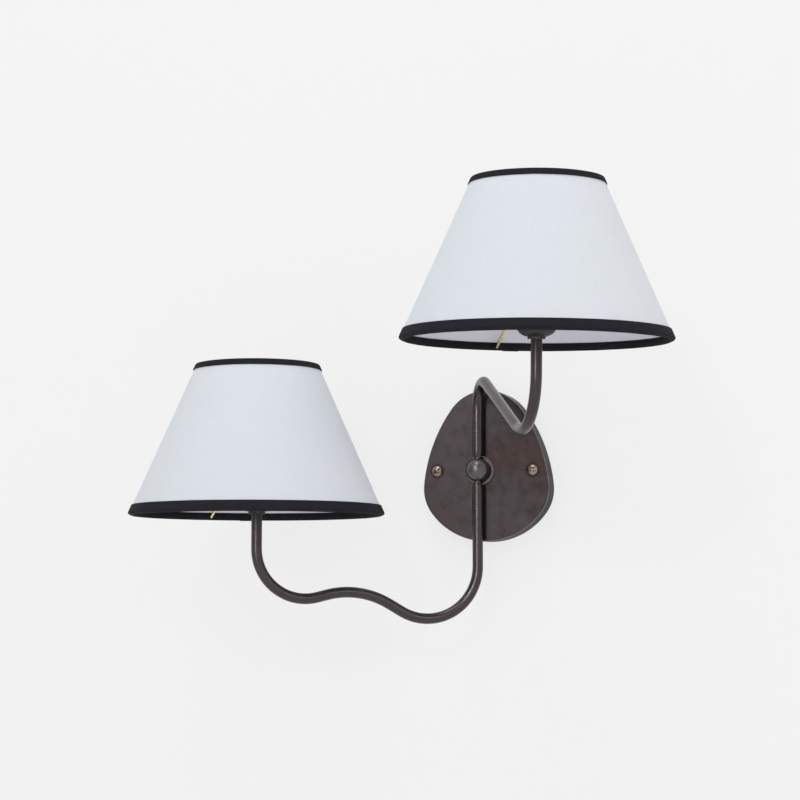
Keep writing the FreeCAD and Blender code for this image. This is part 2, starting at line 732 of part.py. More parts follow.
def arm_tube(side, bends, known_runs):
    """A bent tube, necked where it meets the ball."""
    up_sign = -1 if side == "lower" else 1
    final = -90 if side == "lower" else 90 - d(f"{side}_lean")
    headings = [90] + [d(f"{bend}_heading") for bend in bends[:-1]] + [final]
    radii = [d(f"{bend}_radius") for bend in bends]
    start = (0, d("neck_top"))
    runs = tube_runs(start, path_end(side, up_sign), headings, radii, [d(run) for run in known_runs])
    body = doc.addObject("PartDesign::Body", f"{side}_tube")
    neck_section = new_sketch(body, "XZ_Plane", f"{side}_neck_section")
    draw_corners(neck_section, [
        ("Dims.neck_bore / 2", "Dims.neck_end"),
        ("Dims.neck_diameter / 2", "Dims.neck_end"),
        ("Dims.tube_diameter / 2", "Dims.neck_top"),
        ("Dims.tube_bore / 2", "Dims.neck_top"),
    ])
    neck = body.newObject("PartDesign::Revolution", f"{side}_neck")
    neck.Profile = neck_section
    neck.ReferenceAxis = (neck_section, ["V_Axis"])
    neck.Angle = 360
    path = new_sketch(body, "XZ_Plane", f"{side}_path")
    length = draw_path(path, start, headings, radii, runs)
    lean = f"Dims.{side}_lean"
    end = (
        f"Dims.reach + Dims.tube_end * sin({lean})",
        f"{up_sign} * (Dims.{side}_head_height + Dims.tube_end * cos({lean}))",
    )
    constrain_path(path, headings, bends, known_runs, end)
    ring = new_sketch(body, "XY_Plane", f"{side}_ring", "Dims.neck_top")
    draw_ring(ring, "Dims.tube_diameter", "Dims.tube_bore")
    pipe = body.newObject("PartDesign::AdditivePipe", f"{side}_pipe")
    pipe.Profile = ring
    pipe.Spine = (path, [f"Edge{i}" for i in range(1, 2 * len(bends) + 2)])
    body.Placement = stem_frame(side)
    doc.recompute()
    section = math.pi * (d("tube_diameter") ** 2 - d("tube_bore") ** 2) / 4
    swept = pipe.Shape.Volume - neck.Shape.Volume
    print(f"{side} tube: runs {[round(run, 1) for run in runs]}, length {length:.1f},",
          f"volume {swept:.0f}, section x length {section * length:.0f}")
    keep(body, f"{side}_arm_tube")


def draw_ring(sketch, outside, bore):
    """Two circles about the sketch's origin."""
    for index, (diameter, size) in enumerate(((outside, 2.0), (bore, 1.0))):
        sketch.addGeometry(Part.Circle(FreeCAD.Vector(), FreeCAD.Vector(0, 0, 1), size))
        sketch.addConstraint(Sketcher.Constraint("Coincident", index, 3, -1, 1))
        bind(sketch, Sketcher.Constraint("Diameter", index, 2 * size), diameter)


# ---- lampholder and lamp -----------------------------------------------------------------------

def lampholder(side):
    """Washer, nipple, cup, holder, core, threaded shell, contact, skirt and shade ring."""
    head = head_frame(side)
    seat = "2 * Dims.seat_gap"
    nipple_bore = f"Dims.head_nipple_diameter + {seat}"
    washer_top = "Dims.tube_end + Dims.head_washer_thickness"
    washer = sleeve(f"{side}_washer", nipple_bore, "Dims.head_washer_diameter",
                    "Dims.tube_end", washer_top, head)
    keep(washer, f"{side}_seat_washer")
    nipple = sleeve(f"{side}_nipple", "Dims.head_nipple_bore", "Dims.head_nipple_diameter",
                    "Dims.head_nipple_low", "Dims.head_nipple_high", head)
    keep(nipple, f"{side}_holder_nipple")
    keep(holder_cup(side, washer_top, nipple_bore, head), f"{side}_holder_cup")
    floor = f"{washer_top} + Dims.cup_skin"
    keep(holder_base(side, floor, nipple_bore, head), f"{side}_holder_base")
    nut_low = d("tube_end") + d("head_washer_thickness") + d("cup_skin") + d("holder_floor")
    keep(hex_nut(f"{side}_holder_nut", "Dims.head_nut_across_flats", nipple_bore,
                 "Dims.head_nut_thickness", lifted(head, 0, 0, nut_low)), f"{side}_holder_nut")
    keep(holder_skirt(side, head), f"{side}_holder_skirt")
    core = turned(f"{side}_core", [
        ("0", "Dims.core_low"),
        ("Dims.core_diameter / 2", "Dims.core_low"),
        ("Dims.core_diameter / 2", "Dims.core_high - Dims.contact_height"),
        ("Dims.contact_diameter / 2 + Dims.seat_gap", "Dims.core_high - Dims.contact_height"),
        ("0", "Dims.core_high - Dims.contact_height"),
    ], head)
    keep(core, f"{side}_holder_core")
    keep(contact(side, head), f"{side}_centre_contact")
    keep(thread_shell(side, head), f"{side}_thread_shell")
    ring = sleeve(f"{side}_ring", f"Dims.skirt_diameter + {seat}", "Dims.shade_ring_diameter",
                  "Dims.skirt_flange_high + Dims.fitter_thickness",
                  "Dims.skirt_flange_high + Dims.fitter_thickness + Dims.shade_ring_height", head)
    keep(ring, f"{side}_shade_ring")


def holder_cup(side, floor, bore, head):
    """A shallow metal cup with a round bottom edge, which hides the holder's base."""
    hole = f"({bore}) / 2"
    knee = ("Dims.cup_diameter / 2 - Dims.cup_bulge", f"{floor} + Dims.cup_round / 2")
    inside = "Dims.cup_diameter / 2 - Dims.cup_skin"
    rim = f"{floor} + Dims.cup_height"
    cup = turned(f"{side}_cup", [
        (hole, floor),
        ("Dims.cup_floor_diameter / 2", floor),
        knee,
        ("Dims.cup_diameter / 2", f"{floor} + Dims.cup_round"),
        ("Dims.cup_diameter / 2", rim),
        (inside, rim),
        (inside, f"{floor} + Dims.cup_inner_round"),
        ("Dims.cup_inner_knee_diameter / 2", f"{floor} + Dims.cup_inner_knee"),
        ("Dims.cup_inner_floor_diameter / 2", f"{floor} + Dims.cup_skin"),
        (hole, f"{floor} + Dims.cup_skin"),
    ], head)
    knee_radius = d("cup_diameter") / 2 - d("cup_bulge")
    outer_radii = (d("cup_floor_diameter") / 2, knee_radius, d("cup_diameter") / 2)
    below_rim = d("tube_end") + d("head_washer_thickness") + d("cup_round") + 0.1

    def on_outside(edge):
        if not isinstance(edge.Curve, Part.Circle) or edge.BoundBox.ZMax > below_rim:
            return False
        return any(abs(edge.Curve.Radius - radius) < 0.05 for radius in outer_radii)

    round_edges(cup, f"{side}_cup_round", "Dims.cup_edge", on_outside)
    return cup


def holder_base(side, floor, bore, head):
    """The holder's lower half: a plain insulating cup on the nipple, narrower at its foot."""
    hole = f"({bore}) / 2"
    outer = "Dims.holder_diameter / 2"
    inner = "Dims.holder_diameter / 2 - Dims.holder_wall"
    return turned(f"{side}_base", [
        (hole, floor),
        ("Dims.holder_foot_diameter / 2", floor),
        (outer, f"{floor} + Dims.holder_foot_height"),
        (outer, f"{floor} + Dims.holder_height"),
        (inner, f"{floor} + Dims.holder_height"),
        (inner, f"{floor} + Dims.holder_floor"),
        (hole, f"{floor} + Dims.holder_floor"),
    ], head)


def holder_skirt(side, head):
    """The holder's upper half, with the flange that the shade's carrier rests on."""
    outer = "Dims.skirt_diameter / 2"
    flange = "Dims.skirt_flange_diameter / 2"
    bore = "Dims.skirt_bore / 2"
    mouth = "Dims.skirt_mouth / 2"
    roof = "Dims.skirt_high - Dims.skirt_roof"
    return turned(f"{side}_skirt", [
        (bore, "Dims.skirt_low"),
        (outer, "Dims.skirt_low"),
        (outer, "Dims.skirt_flange_low"),
        (flange, "Dims.skirt_flange_low"),
        (flange, "Dims.skirt_flange_high"),
        (outer, "Dims.skirt_flange_high"),
        (outer, "Dims.skirt_high"),
        (mouth, "Dims.skirt_high"),
        (mouth, roof),
        (bore, roof),
    ], head)


def contact(side, head):
    """The centre contact, a brass button on the core."""
    low = "Dims.core_high - Dims.contact_height"
    return turned(f"{side}_contact", [
        ("0", low),
        ("Dims.contact_diameter / 2", low),
        ("Dims.contact_diameter / 2", "Dims.core_high"),
        ("0", "Dims.core_high"),
    ], head)


def thread_shell(side, head):
    """The brass shell that the lamp screws into, open below round the contact."""
    low = "Dims.core_high - Dims.contact_height"
    skin = "(Dims.shell_diameter - Dims.shell_bore) / 2"
    lip = "Dims.contact_diameter / 2 + 1.5"
    return turned(f"{side}_shell", [
        (lip, low),
        ("Dims.shell_diameter / 2", low),
        ("Dims.shell_diameter / 2", "Dims.shell_high"),
        ("Dims.shell_bore / 2", "Dims.shell_high"),
        ("Dims.shell_bore / 2", f"{low} + {skin}"),
        (lip, f"{low} + {skin}"),
    ], head)


def lamp(side):
    """A small frosted globe lamp: a screw cap and a thin glass envelope."""
    head = head_frame(side)
    cap_low = "Dims.core_high + Dims.seat_gap"
    cap = turned(f"{side}_cap", [
        ("0", cap_low),
        ("Dims.contact_diameter / 2", cap_low),
        ("Dims.lamp_cap_diameter / 2", f"{cap_low} + 3"),
        ("Dims.lamp_cap_diameter / 2", "Dims.lamp_cap_high"),
        ("0", "Dims.lamp_cap_high"),
    ], head)
    keep(cap, f"{side}_lamp_cap")
    outside = lamp_envelope(side, "outer", "0", head)
    inside = lamp_envelope(side, "inner", "Dims.lamp_glass", head)
    keep(cut(f"{side}_glass", outside, inside), f"{side}_lamp_glass")


def lamp_envelope(side, word, inset, head):
    """A globe on a straight neck that flares into it, all shrunk by an inset."""
    globe = solid("Part::Sphere", f"{side}_globe_{word}",
                  {"Radius": f"Dims.lamp_globe_diameter / 2 - {inset}"},
                  lifted(head, 0, 0, d("lamp_globe_height")))
    neck = rod(f"{side}_neck_{word}", f"Dims.lamp_neck_diameter - 2 * {inset}",
               "Dims.lamp_neck_high - Dims.lamp_cap_high", lifted(head, 0, 0, d("lamp_cap_high")))
    flare = solid("Part::Cone", f"{side}_flare_{word}", {
        "Radius1": f"Dims.lamp_neck_diameter / 2 - {inset}",
        "Radius2": f"Dims.lamp_flare_diameter / 2 - {inset}",
        "Height": "Dims.lamp_flare_high - Dims.lamp_neck_high",
    }, lifted(head, 0, 0, d("lamp_neck_high")))
    return joined(f"{side}_envelope_{word}", [globe, neck, flare])


# ---- shade -------------------------------------------------------------------------------------

SHADE_SLOPE = "atan((Dims.shade_bottom_radius - Dims.shade_top_radius) / Dims.shade_rise)"


def on_shade(end, inset, along):
    """A point of the shade's section: inset is measured in from the cloth's outside, square to it,
    and along is measured up the slope from the bottom or the top end of the shade."""
    height = "0" if end == "bottom" else "Dims.shade_rise"
    across = (f"Dims.shade_{end}_radius - ({along}) * sin({SHADE_SLOPE})"
              f" - ({inset}) * cos({SHADE_SLOPE})")
    up = f"{height} + ({along}) * cos({SHADE_SLOPE}) - ({inset}) * sin({SHADE_SLOPE})"
    return across, up


def cone_skin(name, outside, inside, head):
    """A conical skin between two insets, from the bottom tape to the top tape."""
    corners = [
        on_shade("bottom", inside, "-Dims.cloth_below"),
        on_shade("bottom", outside, "-Dims.cloth_below"),
        on_shade("top", outside, "Dims.cloth_above"),
        on_shade("top", inside, "Dims.cloth_above"),
    ]
    return turned(name, corners, head)


def shade(side):
    """Cloth, liner, wire rings, carrier and the two bands of tape."""
    head = head_frame(side)
    skin = "Dims.cloth_thickness + Dims.liner_thickness"
    keep(cone_skin(f"{side}_cloth", "0", "Dims.cloth_thickness", head), f"{side}_shade_cloth")
    keep(cone_skin(f"{side}_liner", "Dims.cloth_thickness", skin, head), f"{side}_shade_liner")
    rings = {}
    for end in ("bottom", "top"):
        ring = solid("Part::Torus", f"{side}_{end}_wire", {
            "Radius1": f"Dims.{end}_ring_radius",
            "Radius2": f"Dims.{end}_wire_radius",
        }, lifted(head, 0, 0, d(f"{end}_ring_height")))
        rings[end] = keep(ring, f"{side}_{end}_wire_ring")
    carrier = keep(shade_carrier(side, rings["bottom"]), f"{side}_shade_carrier")
    bottom_fold = -d("bottom_tape_below")
    bottom = tape(f"{side}_bottom_band", "bottom", bottom_tape_corners(skin), bottom_fold, head)
    on_ring = cut(f"{side}_bottom_band_on_ring", bottom, rings["bottom"])
    keep(cut(f"{side}_bottom_band_cut", on_ring, carrier), f"{side}_bottom_trim")
    top = tape(f"{side}_top_band", "top", top_tape_corners(skin), d("top_tape_half"), head)
    keep(cut(f"{side}_top_band_cut", top, rings["top"]), f"{side}_top_trim")


def bottom_tape_corners(skin):
    """A channel, open upwards, that holds the lower edge of cloth and liner."""
    low = "-Dims.bottom_tape_below"
    high = "Dims.bottom_tape_above"
    inner_high = "Dims.bottom_tape_above - 2"
    return [
        on_shade("bottom", "-Dims.tape_thickness", low),
        on_shade("bottom", "-Dims.tape_thickness", high),
        on_shade("bottom", "0", high),
        on_shade("bottom", "0", "-Dims.cloth_below"),
        on_shade("bottom", skin, "-Dims.cloth_below"),
        on_shade("bottom", skin, inner_high),
        on_shade("bottom", "Dims.bottom_tape_depth", inner_high),
        on_shade("bottom", "Dims.bottom_tape_depth", low),
    ]


def top_tape_corners(skin):
    """A channel, open downwards, that holds the upper edge of cloth and liner."""
    low = "-Dims.top_tape_half"
    high = "Dims.top_tape_half"
    return [
        on_shade("top", "-Dims.tape_thickness", high),
        on_shade("top", "-Dims.tape_thickness", low),
        on_shade("top", "0", low),
        on_shade("top", "0", "Dims.cloth_above"),
        on_shade("top", skin, "Dims.cloth_above"),
        on_shade("top", skin, low),
        on_shade("top", "Dims.top_tape_depth", low),
        on_shade("top", "Dims.top_tape_depth", high),
    ]


def tape(name, end, corners, along, head):
    """A folded band of tape, rounded along the two edges of its fold, which lie at that height."""
    body = turned(name, corners, head)
    slope = math.atan((d("shade_bottom_radius") - d("shade_top_radius")) / d("shade_rise"))
    height = d("shade_rise") if end == "top" else 0.0
    rims = []
    for inset in (-d("tape_thickness"), d(f"{end}_tape_depth")):
        radius = d(f"shade_{end}_radius") - along * math.sin(slope) - inset * math.cos(slope)
        rims.append((radius, height + along * math.cos(slope) - inset * math.sin(slope)))

    def on_fold(edge):
        if not isinstance(edge.Curve, Part.Circle):
            return False
        return any(math.dist((edge.Curve.Radius, edge.BoundBox.ZMin), rim) < 0.05 for rim in rims)

    round_edges(body, f"{name}_round", f"Dims.{end}_tape_round", on_fold)
    return body


def shade_carrier(side, bottom_ring):
    """A fitter ring and straight wire spokes, welded to the bottom wire ring."""
    head = head_frame(side)
    fitter = sleeve(f"{side}_fitter", "Dims.fitter_bore", "Dims.fitter_diameter",
                    "Dims.skirt_flange_high", "Dims.skirt_flange_high + Dims.fitter_thickness", head)
    fitter_middle = d("skirt_flange_high") + d("fitter_thickness") / 2
    across = d("bottom_ring_radius") - d("spoke_inner_radius")
    up = fitter_middle - d("bottom_ring_height")
    tilt = math.degrees(math.atan2(-across, up))
    pieces = [fitter]
    run = (
        "sqrt((Dims.bottom_ring_radius - Dims.spoke_inner_radius) ^ 2"
        " + (Dims.skirt_flange_high + Dims.fitter_thickness / 2 - Dims.bottom_ring_height) ^ 2)"
    )
    for index in range(SPOKES):
        angle = d(f"{side}_spoke_angle") + index * 360 / SPOKES
        around = FreeCAD.Placement(FreeCAD.Vector(), FreeCAD.Rotation(FreeCAD.Vector(0, 0, 1), angle))
        foot = FreeCAD.Vector(d("bottom_ring_radius"), 0, d("bottom_ring_height"))
        lean = FreeCAD.Placement(foot, FreeCAD.Rotation(FreeCAD.Vector(0, 1, 0), tilt))
        name = f"{side}_spoke_{'abc'[index]}"
        pieces.append(rod(name, "2 * Dims.spoke_radius", run, head * around * lean))
    wires = joined(f"{side}_carrier_blank", pieces)
    return cut(f"{side}_carrier_cut", wires, bottom_ring)


# ---- assembly ----------------------------------------------------------------------------------

wall_plate()
mounting_bracket()
canopy_screws()
ground_screw()
hub_rosette()
hub_ball()
hub_fasteners()
pivot_screws()
arm_tube("lower", ("lower_bowl", "lower_crest", "lower_sweep"), ("lower_stem", "lower_link"))
arm_tube("upper", ("upper_crest", "upper_sweep"), ("upper_stem",))
for arm in ("lower", "upper"):
    pivot_spigot(arm)
    lampholder(arm)
    lamp(arm)
    shade(arm)
doc.recompute()

faults = [item.Label for item in doc.Objects if "Invalid" in item.State or "Error" in item.State]
faults += [piece.Label for piece in sub_parts if piece.Shape.isNull() or not piece.Shape.isValid()]
if faults:
    raise SystemExit(f"failed: {faults}")

os.makedirs("parts", exist_ok=True)
for piece in sub_parts:
    piece.Shape.exportStep(f"parts/{piece.Label}.step")
print(f"{len(sub_parts)} sub-parts written")
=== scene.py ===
"""Looks for a wall light with two bent-tube arms and two cloth shades bound in black tape."""
import math

import bmesh
import bpy
from mathutils import Euler, Matrix, Vector, noise


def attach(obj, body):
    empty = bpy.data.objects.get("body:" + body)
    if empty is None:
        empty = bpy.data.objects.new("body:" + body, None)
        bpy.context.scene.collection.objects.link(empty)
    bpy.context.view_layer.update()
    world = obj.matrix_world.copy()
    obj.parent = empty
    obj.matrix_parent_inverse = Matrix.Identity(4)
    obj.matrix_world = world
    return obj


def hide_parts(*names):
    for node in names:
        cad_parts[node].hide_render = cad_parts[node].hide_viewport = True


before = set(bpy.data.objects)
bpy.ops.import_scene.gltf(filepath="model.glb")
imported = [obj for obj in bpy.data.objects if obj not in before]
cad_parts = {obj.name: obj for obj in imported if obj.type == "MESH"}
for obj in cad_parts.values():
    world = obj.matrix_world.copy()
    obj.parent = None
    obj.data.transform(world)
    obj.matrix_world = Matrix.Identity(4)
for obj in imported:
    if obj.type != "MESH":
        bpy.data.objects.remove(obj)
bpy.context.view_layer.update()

ARMS = ("lower", "upper")

# The object's sizes in metres and its angles in degrees, the same as the CAD's.
HUB = Vector((-0.0042, -0.0325, 0))
REACH = 0.2025
SWING = {"lower": 209.2, "upper": -62.9}
HEAD_HEIGHT = {"lower": -0.0388, "upper": 0.0982}
LEAN = {"lower": 0.0, "upper": 2.5}
TUBE_END = -0.003
TUBE_RADIUS = 0.0048
TUBE_WALL = 0.00065
NECK_RADIUS = 0.0037
NECK_START = 0.0113
NECK_FULL = 0.0178
NECK_TOP = 0.022
BENDS = {
    "lower": {
        "runs": (0.0652, 0.014),
        "headings": (90, -30.2, 14.0, -90),
        "radii": (0.047, 0.075, 0.044),
    },
    "upper": {"runs": (0.0338,), "headings": (90, -24.1, 87.5), "radii": (0.0221, 0.0452)},
}
SHADE = {"bottom": 0.1106, "top": 0.055}
SHADE_RISE = 0.1262
SHADE_SLOPE = math.atan((SHADE["bottom"] - SHADE["top"]) / SHADE_RISE)
CLOTH_BELOW = 0.0032
CLOTH_ABOVE = 0.0017
CLOTH_THICKNESS = 0.0004
SEAM_LAP = 0.008
SEAM_RISE = 0.00045
SEAM_HEADING = 90.0
WASHER_HEIGHT = 0.0021
SCREW_ACROSS = 0.04445

# Detail that only the looks have: waves in the cloth, and the tapes' unevenness and lapped ends.
CLOTH_COLUMNS, CLOTH_ROWS = 360, 60
CLOTH_WAVE = 0.00018
WAVES_ROUND, WAVES_UP, WAVES_SEED = 3.2, 26.0, 5.0
TAPE_STEPS = {"bottom": 560, "top": 300}
TAPE_WOBBLE = {"bottom": 0.0005, "top": 0.0004}
TAPE_WAVE = 22.0
TAPE_SEED = 15.5
TAPE_LAP = 0.014
TAPE_LAP_STEPS = 16
TAPE_LAP_TURN = {"bottom": 0.35, "top": -0.5}  # radians from the cloth's seam
# Sections of the tapes in millimetres: inset from the cone, length up its slope, corner radius.
TAPES = {
    "bottom": {
        "tape": (
            (0.0, -3.2, 0.1), (1.0, -3.2, 0.1), (1.0, 2.5, 0.2), (1.6, 2.5, 0.3),
            (1.8, 0.7, 1.5), (3.4, 0.0, 1.2), (4.1, -1.4, 1.0), (4.1, -4.2, 1.6),
            (-1.1, -4.2, 1.6), (-1.1, 4.5, 0.35), (0.0, 4.5, 0.3)),
        "tape_end": (
            (-1.0, 4.3, 0.1), (-1.4, 4.3, 0.2), (-1.4, -4.5, 1.9), (4.4, -4.5, 1.9),
            (4.4, -1.8, 0.2), (4.0, -1.8, 0.1), (4.0, -4.1, 1.5), (-1.0, -4.1, 1.5)),
    },
    "top": {
        "tape": (
            (0.0, 1.7, 0.1), (0.0, -2.9, 0.3), (-1.1, -2.9, 0.35), (-1.1, 2.9, 1.0),
            (3.4, 2.9, 1.0), (3.4, -0.5, 0.8), (2.8, -1.4, 0.8), (1.7, -1.7, 0.6),
            (1.5, -2.9, 0.2), (1.0, -2.9, 0.2), (1.0, 1.7, 0.1)),
        "tape_end": (
            (-1.0, -2.7, 0.1), (-1.0, 2.8, 0.9), (3.3, 2.8, 0.9), (3.3, 0.5, 0.1),
            (3.7, 0.5, 0.2), (3.7, 3.2, 1.3), (-1.4, 3.2, 1.3), (-1.4, -2.7, 0.2)),
    },
}


# ---- node tools --------------------------------------------------------------------------------

def put(tree, kind, inputs=None, **settings):
    """Adds a node. Each input is a value, or a socket to link from."""
    node = tree.nodes.new(kind)
    for name, value in settings.items():
        setattr(node, name, value)
    for key, value in (inputs or {}).items():
        if isinstance(value, bpy.types.NodeSocket):
            tree.links.new(value, node.inputs[key])
        else:
            node.inputs[key].default_value = value
    return node


def maths(tree, operation, *values):
    return put(tree, "ShaderNodeMath", dict(enumerate(values)), operation=operation).outputs[0]


def times(tree, first, second):
    return maths(tree, "MULTIPLY", first, second)


def plus(tree, first, second):
    return maths(tree, "ADD", first, second)


def vector_maths(tree, operation, *values, **named):
    inputs = {**dict(enumerate(values)), **named}
    return put(tree, "ShaderNodeVectorMath", inputs, operation=operation).outputs[0]


def drifting(tree, noise_node, amount):
    """A vector that wanders about zero with the noise."""
    centred = vector_maths(tree, "SUBTRACT", noise_node.outputs["Color"], (0.5, 0.5, 0.5))
    return vector_maths(tree, "SCALE", centred, Scale=amount)


def ranged(tree, value, low, high, to_low=0.0, to_high=1.0):
    inputs = {0: value, 1: low, 2: high, 3: to_low, 4: to_high}
    return put(tree, "ShaderNodeMapRange", inputs, interpolation_type="SMOOTHSTEP").outputs[0]


def grey(tone):
    return (tone, tone, tone, 1)


def new_material(name):
    material = bpy.data.materials.new(name)
    material.use_nodes = True
    material.node_tree.nodes.clear()
    return material


# ---- camera, wall, floor and lamps -------------------------------------------------------------

LENS = 94.5
SENSOR = 36.0
EYE = (0.4305, -1.8857, -0.1162)
EYE_TURN = (95.4, 0, 15.316)
PAINT = 0.88
BACKDROP = 0.912
EVEN_SHARE = 0.80
PANEL_HALF = 4.0
# Each panel's middle, and its turn about X, Y and Z.
PANELS = {
    "wall": ((0, 0.0006, 0), (90, 0, 0)),
    "floor": ((0, -2.0, -0.8), (0, 0, 0)),
}
AIR = 0.78
AIR_TINT = (1.0, 0.975, 0.97)
LAMP_AIM = Vector((0.0, -0.05, 0.0))
# Each lamp's place, size, power in watts and tint, and whether it only makes highlights.
LAMPS = {
    "key": ((-0.30, -2.85, 1.45), (0.32, 0.32), 9.5, (0.90, 0.97, 1.0), False),
    "glint": ((-0.30, -2.85, 1.45), (0.9, 0.9), 28.0, (1.0, 0.98, 0.98), True),
    "streak": ((-0.22, -3.0, 0.25), (0.3, 0.8), 15.0, (1.0, 0.97, 0.97), True),
    "top": ((0.0, -0.9, 1.9), (0.8, 0.8), 8.5, (0.90, 0.97, 1.0), False),
    "right": ((1.8, -1.8, 0.8), (1.0, 1.0), 4.4, (1.0, 0.98, 0.96), False),
}


def make_camera():
    lens = bpy.data.cameras.new("view")
    lens.lens = LENS
    lens.sensor_width = SENSOR
    camera = bpy.data.objects.new("view", lens)
    camera.location = EYE
    camera.rotation_euler = [math.radians(angle) for angle in EYE_TURN]
    bpy.context.scene.collection.objects.link(camera)
    bpy.context.scene.camera = camera


def surround(name):
    """Pale paint that shows at an even tone and keeps part of the shadows. Unseen from behind."""
    material = new_material(name)
    tree = material.node_tree
    paint = put(tree, "ShaderNodeBsdfDiffuse", {"Color": grey(PAINT)}).outputs[0]
    even = put(tree, "ShaderNodeEmission", {"Color": grey(BACKDROP), "Strength": 1.0}).outputs[0]
    path = put(tree, "ShaderNodeLightPath").outputs
    seen = maths(tree, "MAXIMUM", path["Is Camera Ray"], path["Is Glossy Ray"])
    seen = maths(tree, "MAXIMUM", seen, path["Is Transmission Ray"])
    part = times(tree, seen, EVEN_SHARE)
    front = put(tree, "ShaderNodeMixShader", {0: part, 1: paint, 2: even}).outputs[0]
    clear = put(tree, "ShaderNodeBsdfTransparent").outputs[0]
    behind = put(tree, "ShaderNodeNewGeometry").outputs["Backfacing"]
    both = put(tree, "ShaderNodeMixShader", {0: behind, 1: front, 2: clear}).outputs[0]
    put(tree, "ShaderNodeOutputMaterial", {"Surface": both})
    return material


def make_stage():
    """A wall behind the plate and a floor far below it."""
    signs = ((-1, -1), (1, -1), (1, 1), (-1, 1))
    for name, (centre, turn) in PANELS.items():
        mesh = bpy.data.meshes.new(name)
        turned_to = Euler([math.radians(angle) for angle in turn]).to_matrix()
        corners = [turned_to @ Vector((PANEL_HALF * x, PANEL_HALF * y, 0)) for x, y in signs]
        mesh.from_pydata([Vector(centre) + corner for corner in corners], [], [(0, 1, 2, 3)])
        mesh.materials.append(surround(f"{name}_paint"))
        panel = bpy.data.objects.new(name, mesh)
        bpy.context.scene.collection.objects.link(panel)


def make_lamp(name, place, size, power, tint, shine_only):
    light = bpy.data.lights.new(name, "AREA")
    light.shape = "ELLIPSE"
    light.size, light.size_y = size
    light.energy = power
    light.color = tint
    lamp = bpy.data.objects.new(name, light)
    lamp.location = place
    lamp.visible_diffuse = not shine_only
    lamp.rotation_euler = (LAMP_AIM - Vector(place)).to_track_quat("-Z", "Y").to_euler()
    bpy.context.scene.collection.objects.link(lamp)


def make_light():
    """The lamps, and an even light from all round that the camera sees as the backdrop's tone."""
    world = bpy.data.worlds.new("studio")
    bpy.context.scene.world = world
    world.use_nodes = True
    tree = world.node_tree
    tree.nodes.clear()
    path = put(tree, "ShaderNodeLightPath").outputs["Is Camera Ray"]
    air = put(tree, "ShaderNodeBackground", {"Color": (*AIR_TINT, 1), "Strength": AIR}).outputs[0]
    seen = put(tree, "ShaderNodeBackground", {"Color": grey(BACKDROP), "Strength": 1.0}).outputs[0]
    mixed = put(tree, "ShaderNodeMixShader", {0: path, 1: air, 2: seen}).outputs[0]
    put(tree, "ShaderNodeOutputWorld", {"Surface": mixed})
    for name, settings in LAMPS.items():
        make_lamp(name, *settings)
    bpy.context.scene.view_settings.view_transform = "Standard"


make_camera()
make_stage()
make_light()


# ---- finishes ----------------------------------------------------------------------------------

SOCKETS = {float: "NodeSocketFloat", tuple: "NodeSocketVector", list: "NodeSocketColor"}


def new_group(name, inputs, outputs):
    """A shader node group. A float, a tuple and a list stand for a value, a vector and a colour."""
    group = bpy.data.node_groups.new(name, "ShaderNodeTree")
    sockets = group.interface
    for label, default in inputs.items():
        socket = sockets.new_socket(label, in_out="INPUT", socket_type=SOCKETS[type(default)])
        socket.default_value = default
    for label, kind in outputs.items():
        sockets.new_socket(label, in_out="OUTPUT", socket_type=SOCKETS[kind])
    return group, put(group, "NodeGroupInput").outputs, put(group, "NodeGroupOutput").inputs


def mixed_colour(tree, share, first, second):
    inputs = {"Factor": share, 6: first, 7: second}
    return put(tree, "ShaderNodeMix", inputs, data_type="RGBA").outputs[2]


def cloud(tree, place, scale, detail=4.0, rough=0.6):
    inputs = {"Vector": place, "Scale": scale, "Detail": detail, "Roughness": rough}
    return put(tree, "ShaderNodeTexNoise", inputs).outputs[0]


def stretched(tree, place, scale):
    return put(tree, "ShaderNodeMapping", {"Vector": place, "Scale": scale}).outputs[0]


def make_threads():
    """Plain weave from a flat map in metres: thread height, and a tone that varies by thread."""
    tree, given, result = new_group(
        "threads", {"Flat": (0.0, 0.0, 0.0), "Pitch": 0.0005, "Unevenness": 0.2},
        {"Height": float, "Tone": float})
    flat = given["Flat"]
    per_thread = maths(tree, "DIVIDE", 1.0, given["Pitch"])
    drift = put(tree, "ShaderNodeTexNoise", {"Vector": flat, "Scale": 260.0, "Detail": 2.0})
    drift = drifting(tree, drift, given["Unevenness"])
    counted = vector_maths(tree, "SCALE", flat, Scale=per_thread)
    threads = vector_maths(tree, "ADD", counted, drift)
    parts = put(tree, "ShaderNodeSeparateXYZ", {0: threads}).outputs
    waves = [maths(tree, "SINE", times(tree, parts[axis], math.pi)) for axis in (0, 1)]
    backs = [maths(tree, "ABSOLUTE", wave) for wave in waves]
    over = ranged(tree, times(tree, *waves), -0.25, 0.25)
    height = put(tree, "ShaderNodeMix", {"Factor": over, 2: backs[0], 3: backs[1]}).outputs[0]
    tree.links.new(height, result["Height"])
    slubs = [cloud(tree, stretched(tree, flat, scale), 1.0, 3.0, 0.7)
             for scale in ((1500.0, 45.0, 1.0), (45.0, 1500.0, 1.0))]
    tone = times(tree, plus(tree, *slubs), 0.5)
    tree.links.new(ranged(tree, tone, 0.35, 0.65), result["Tone"])
    return tree


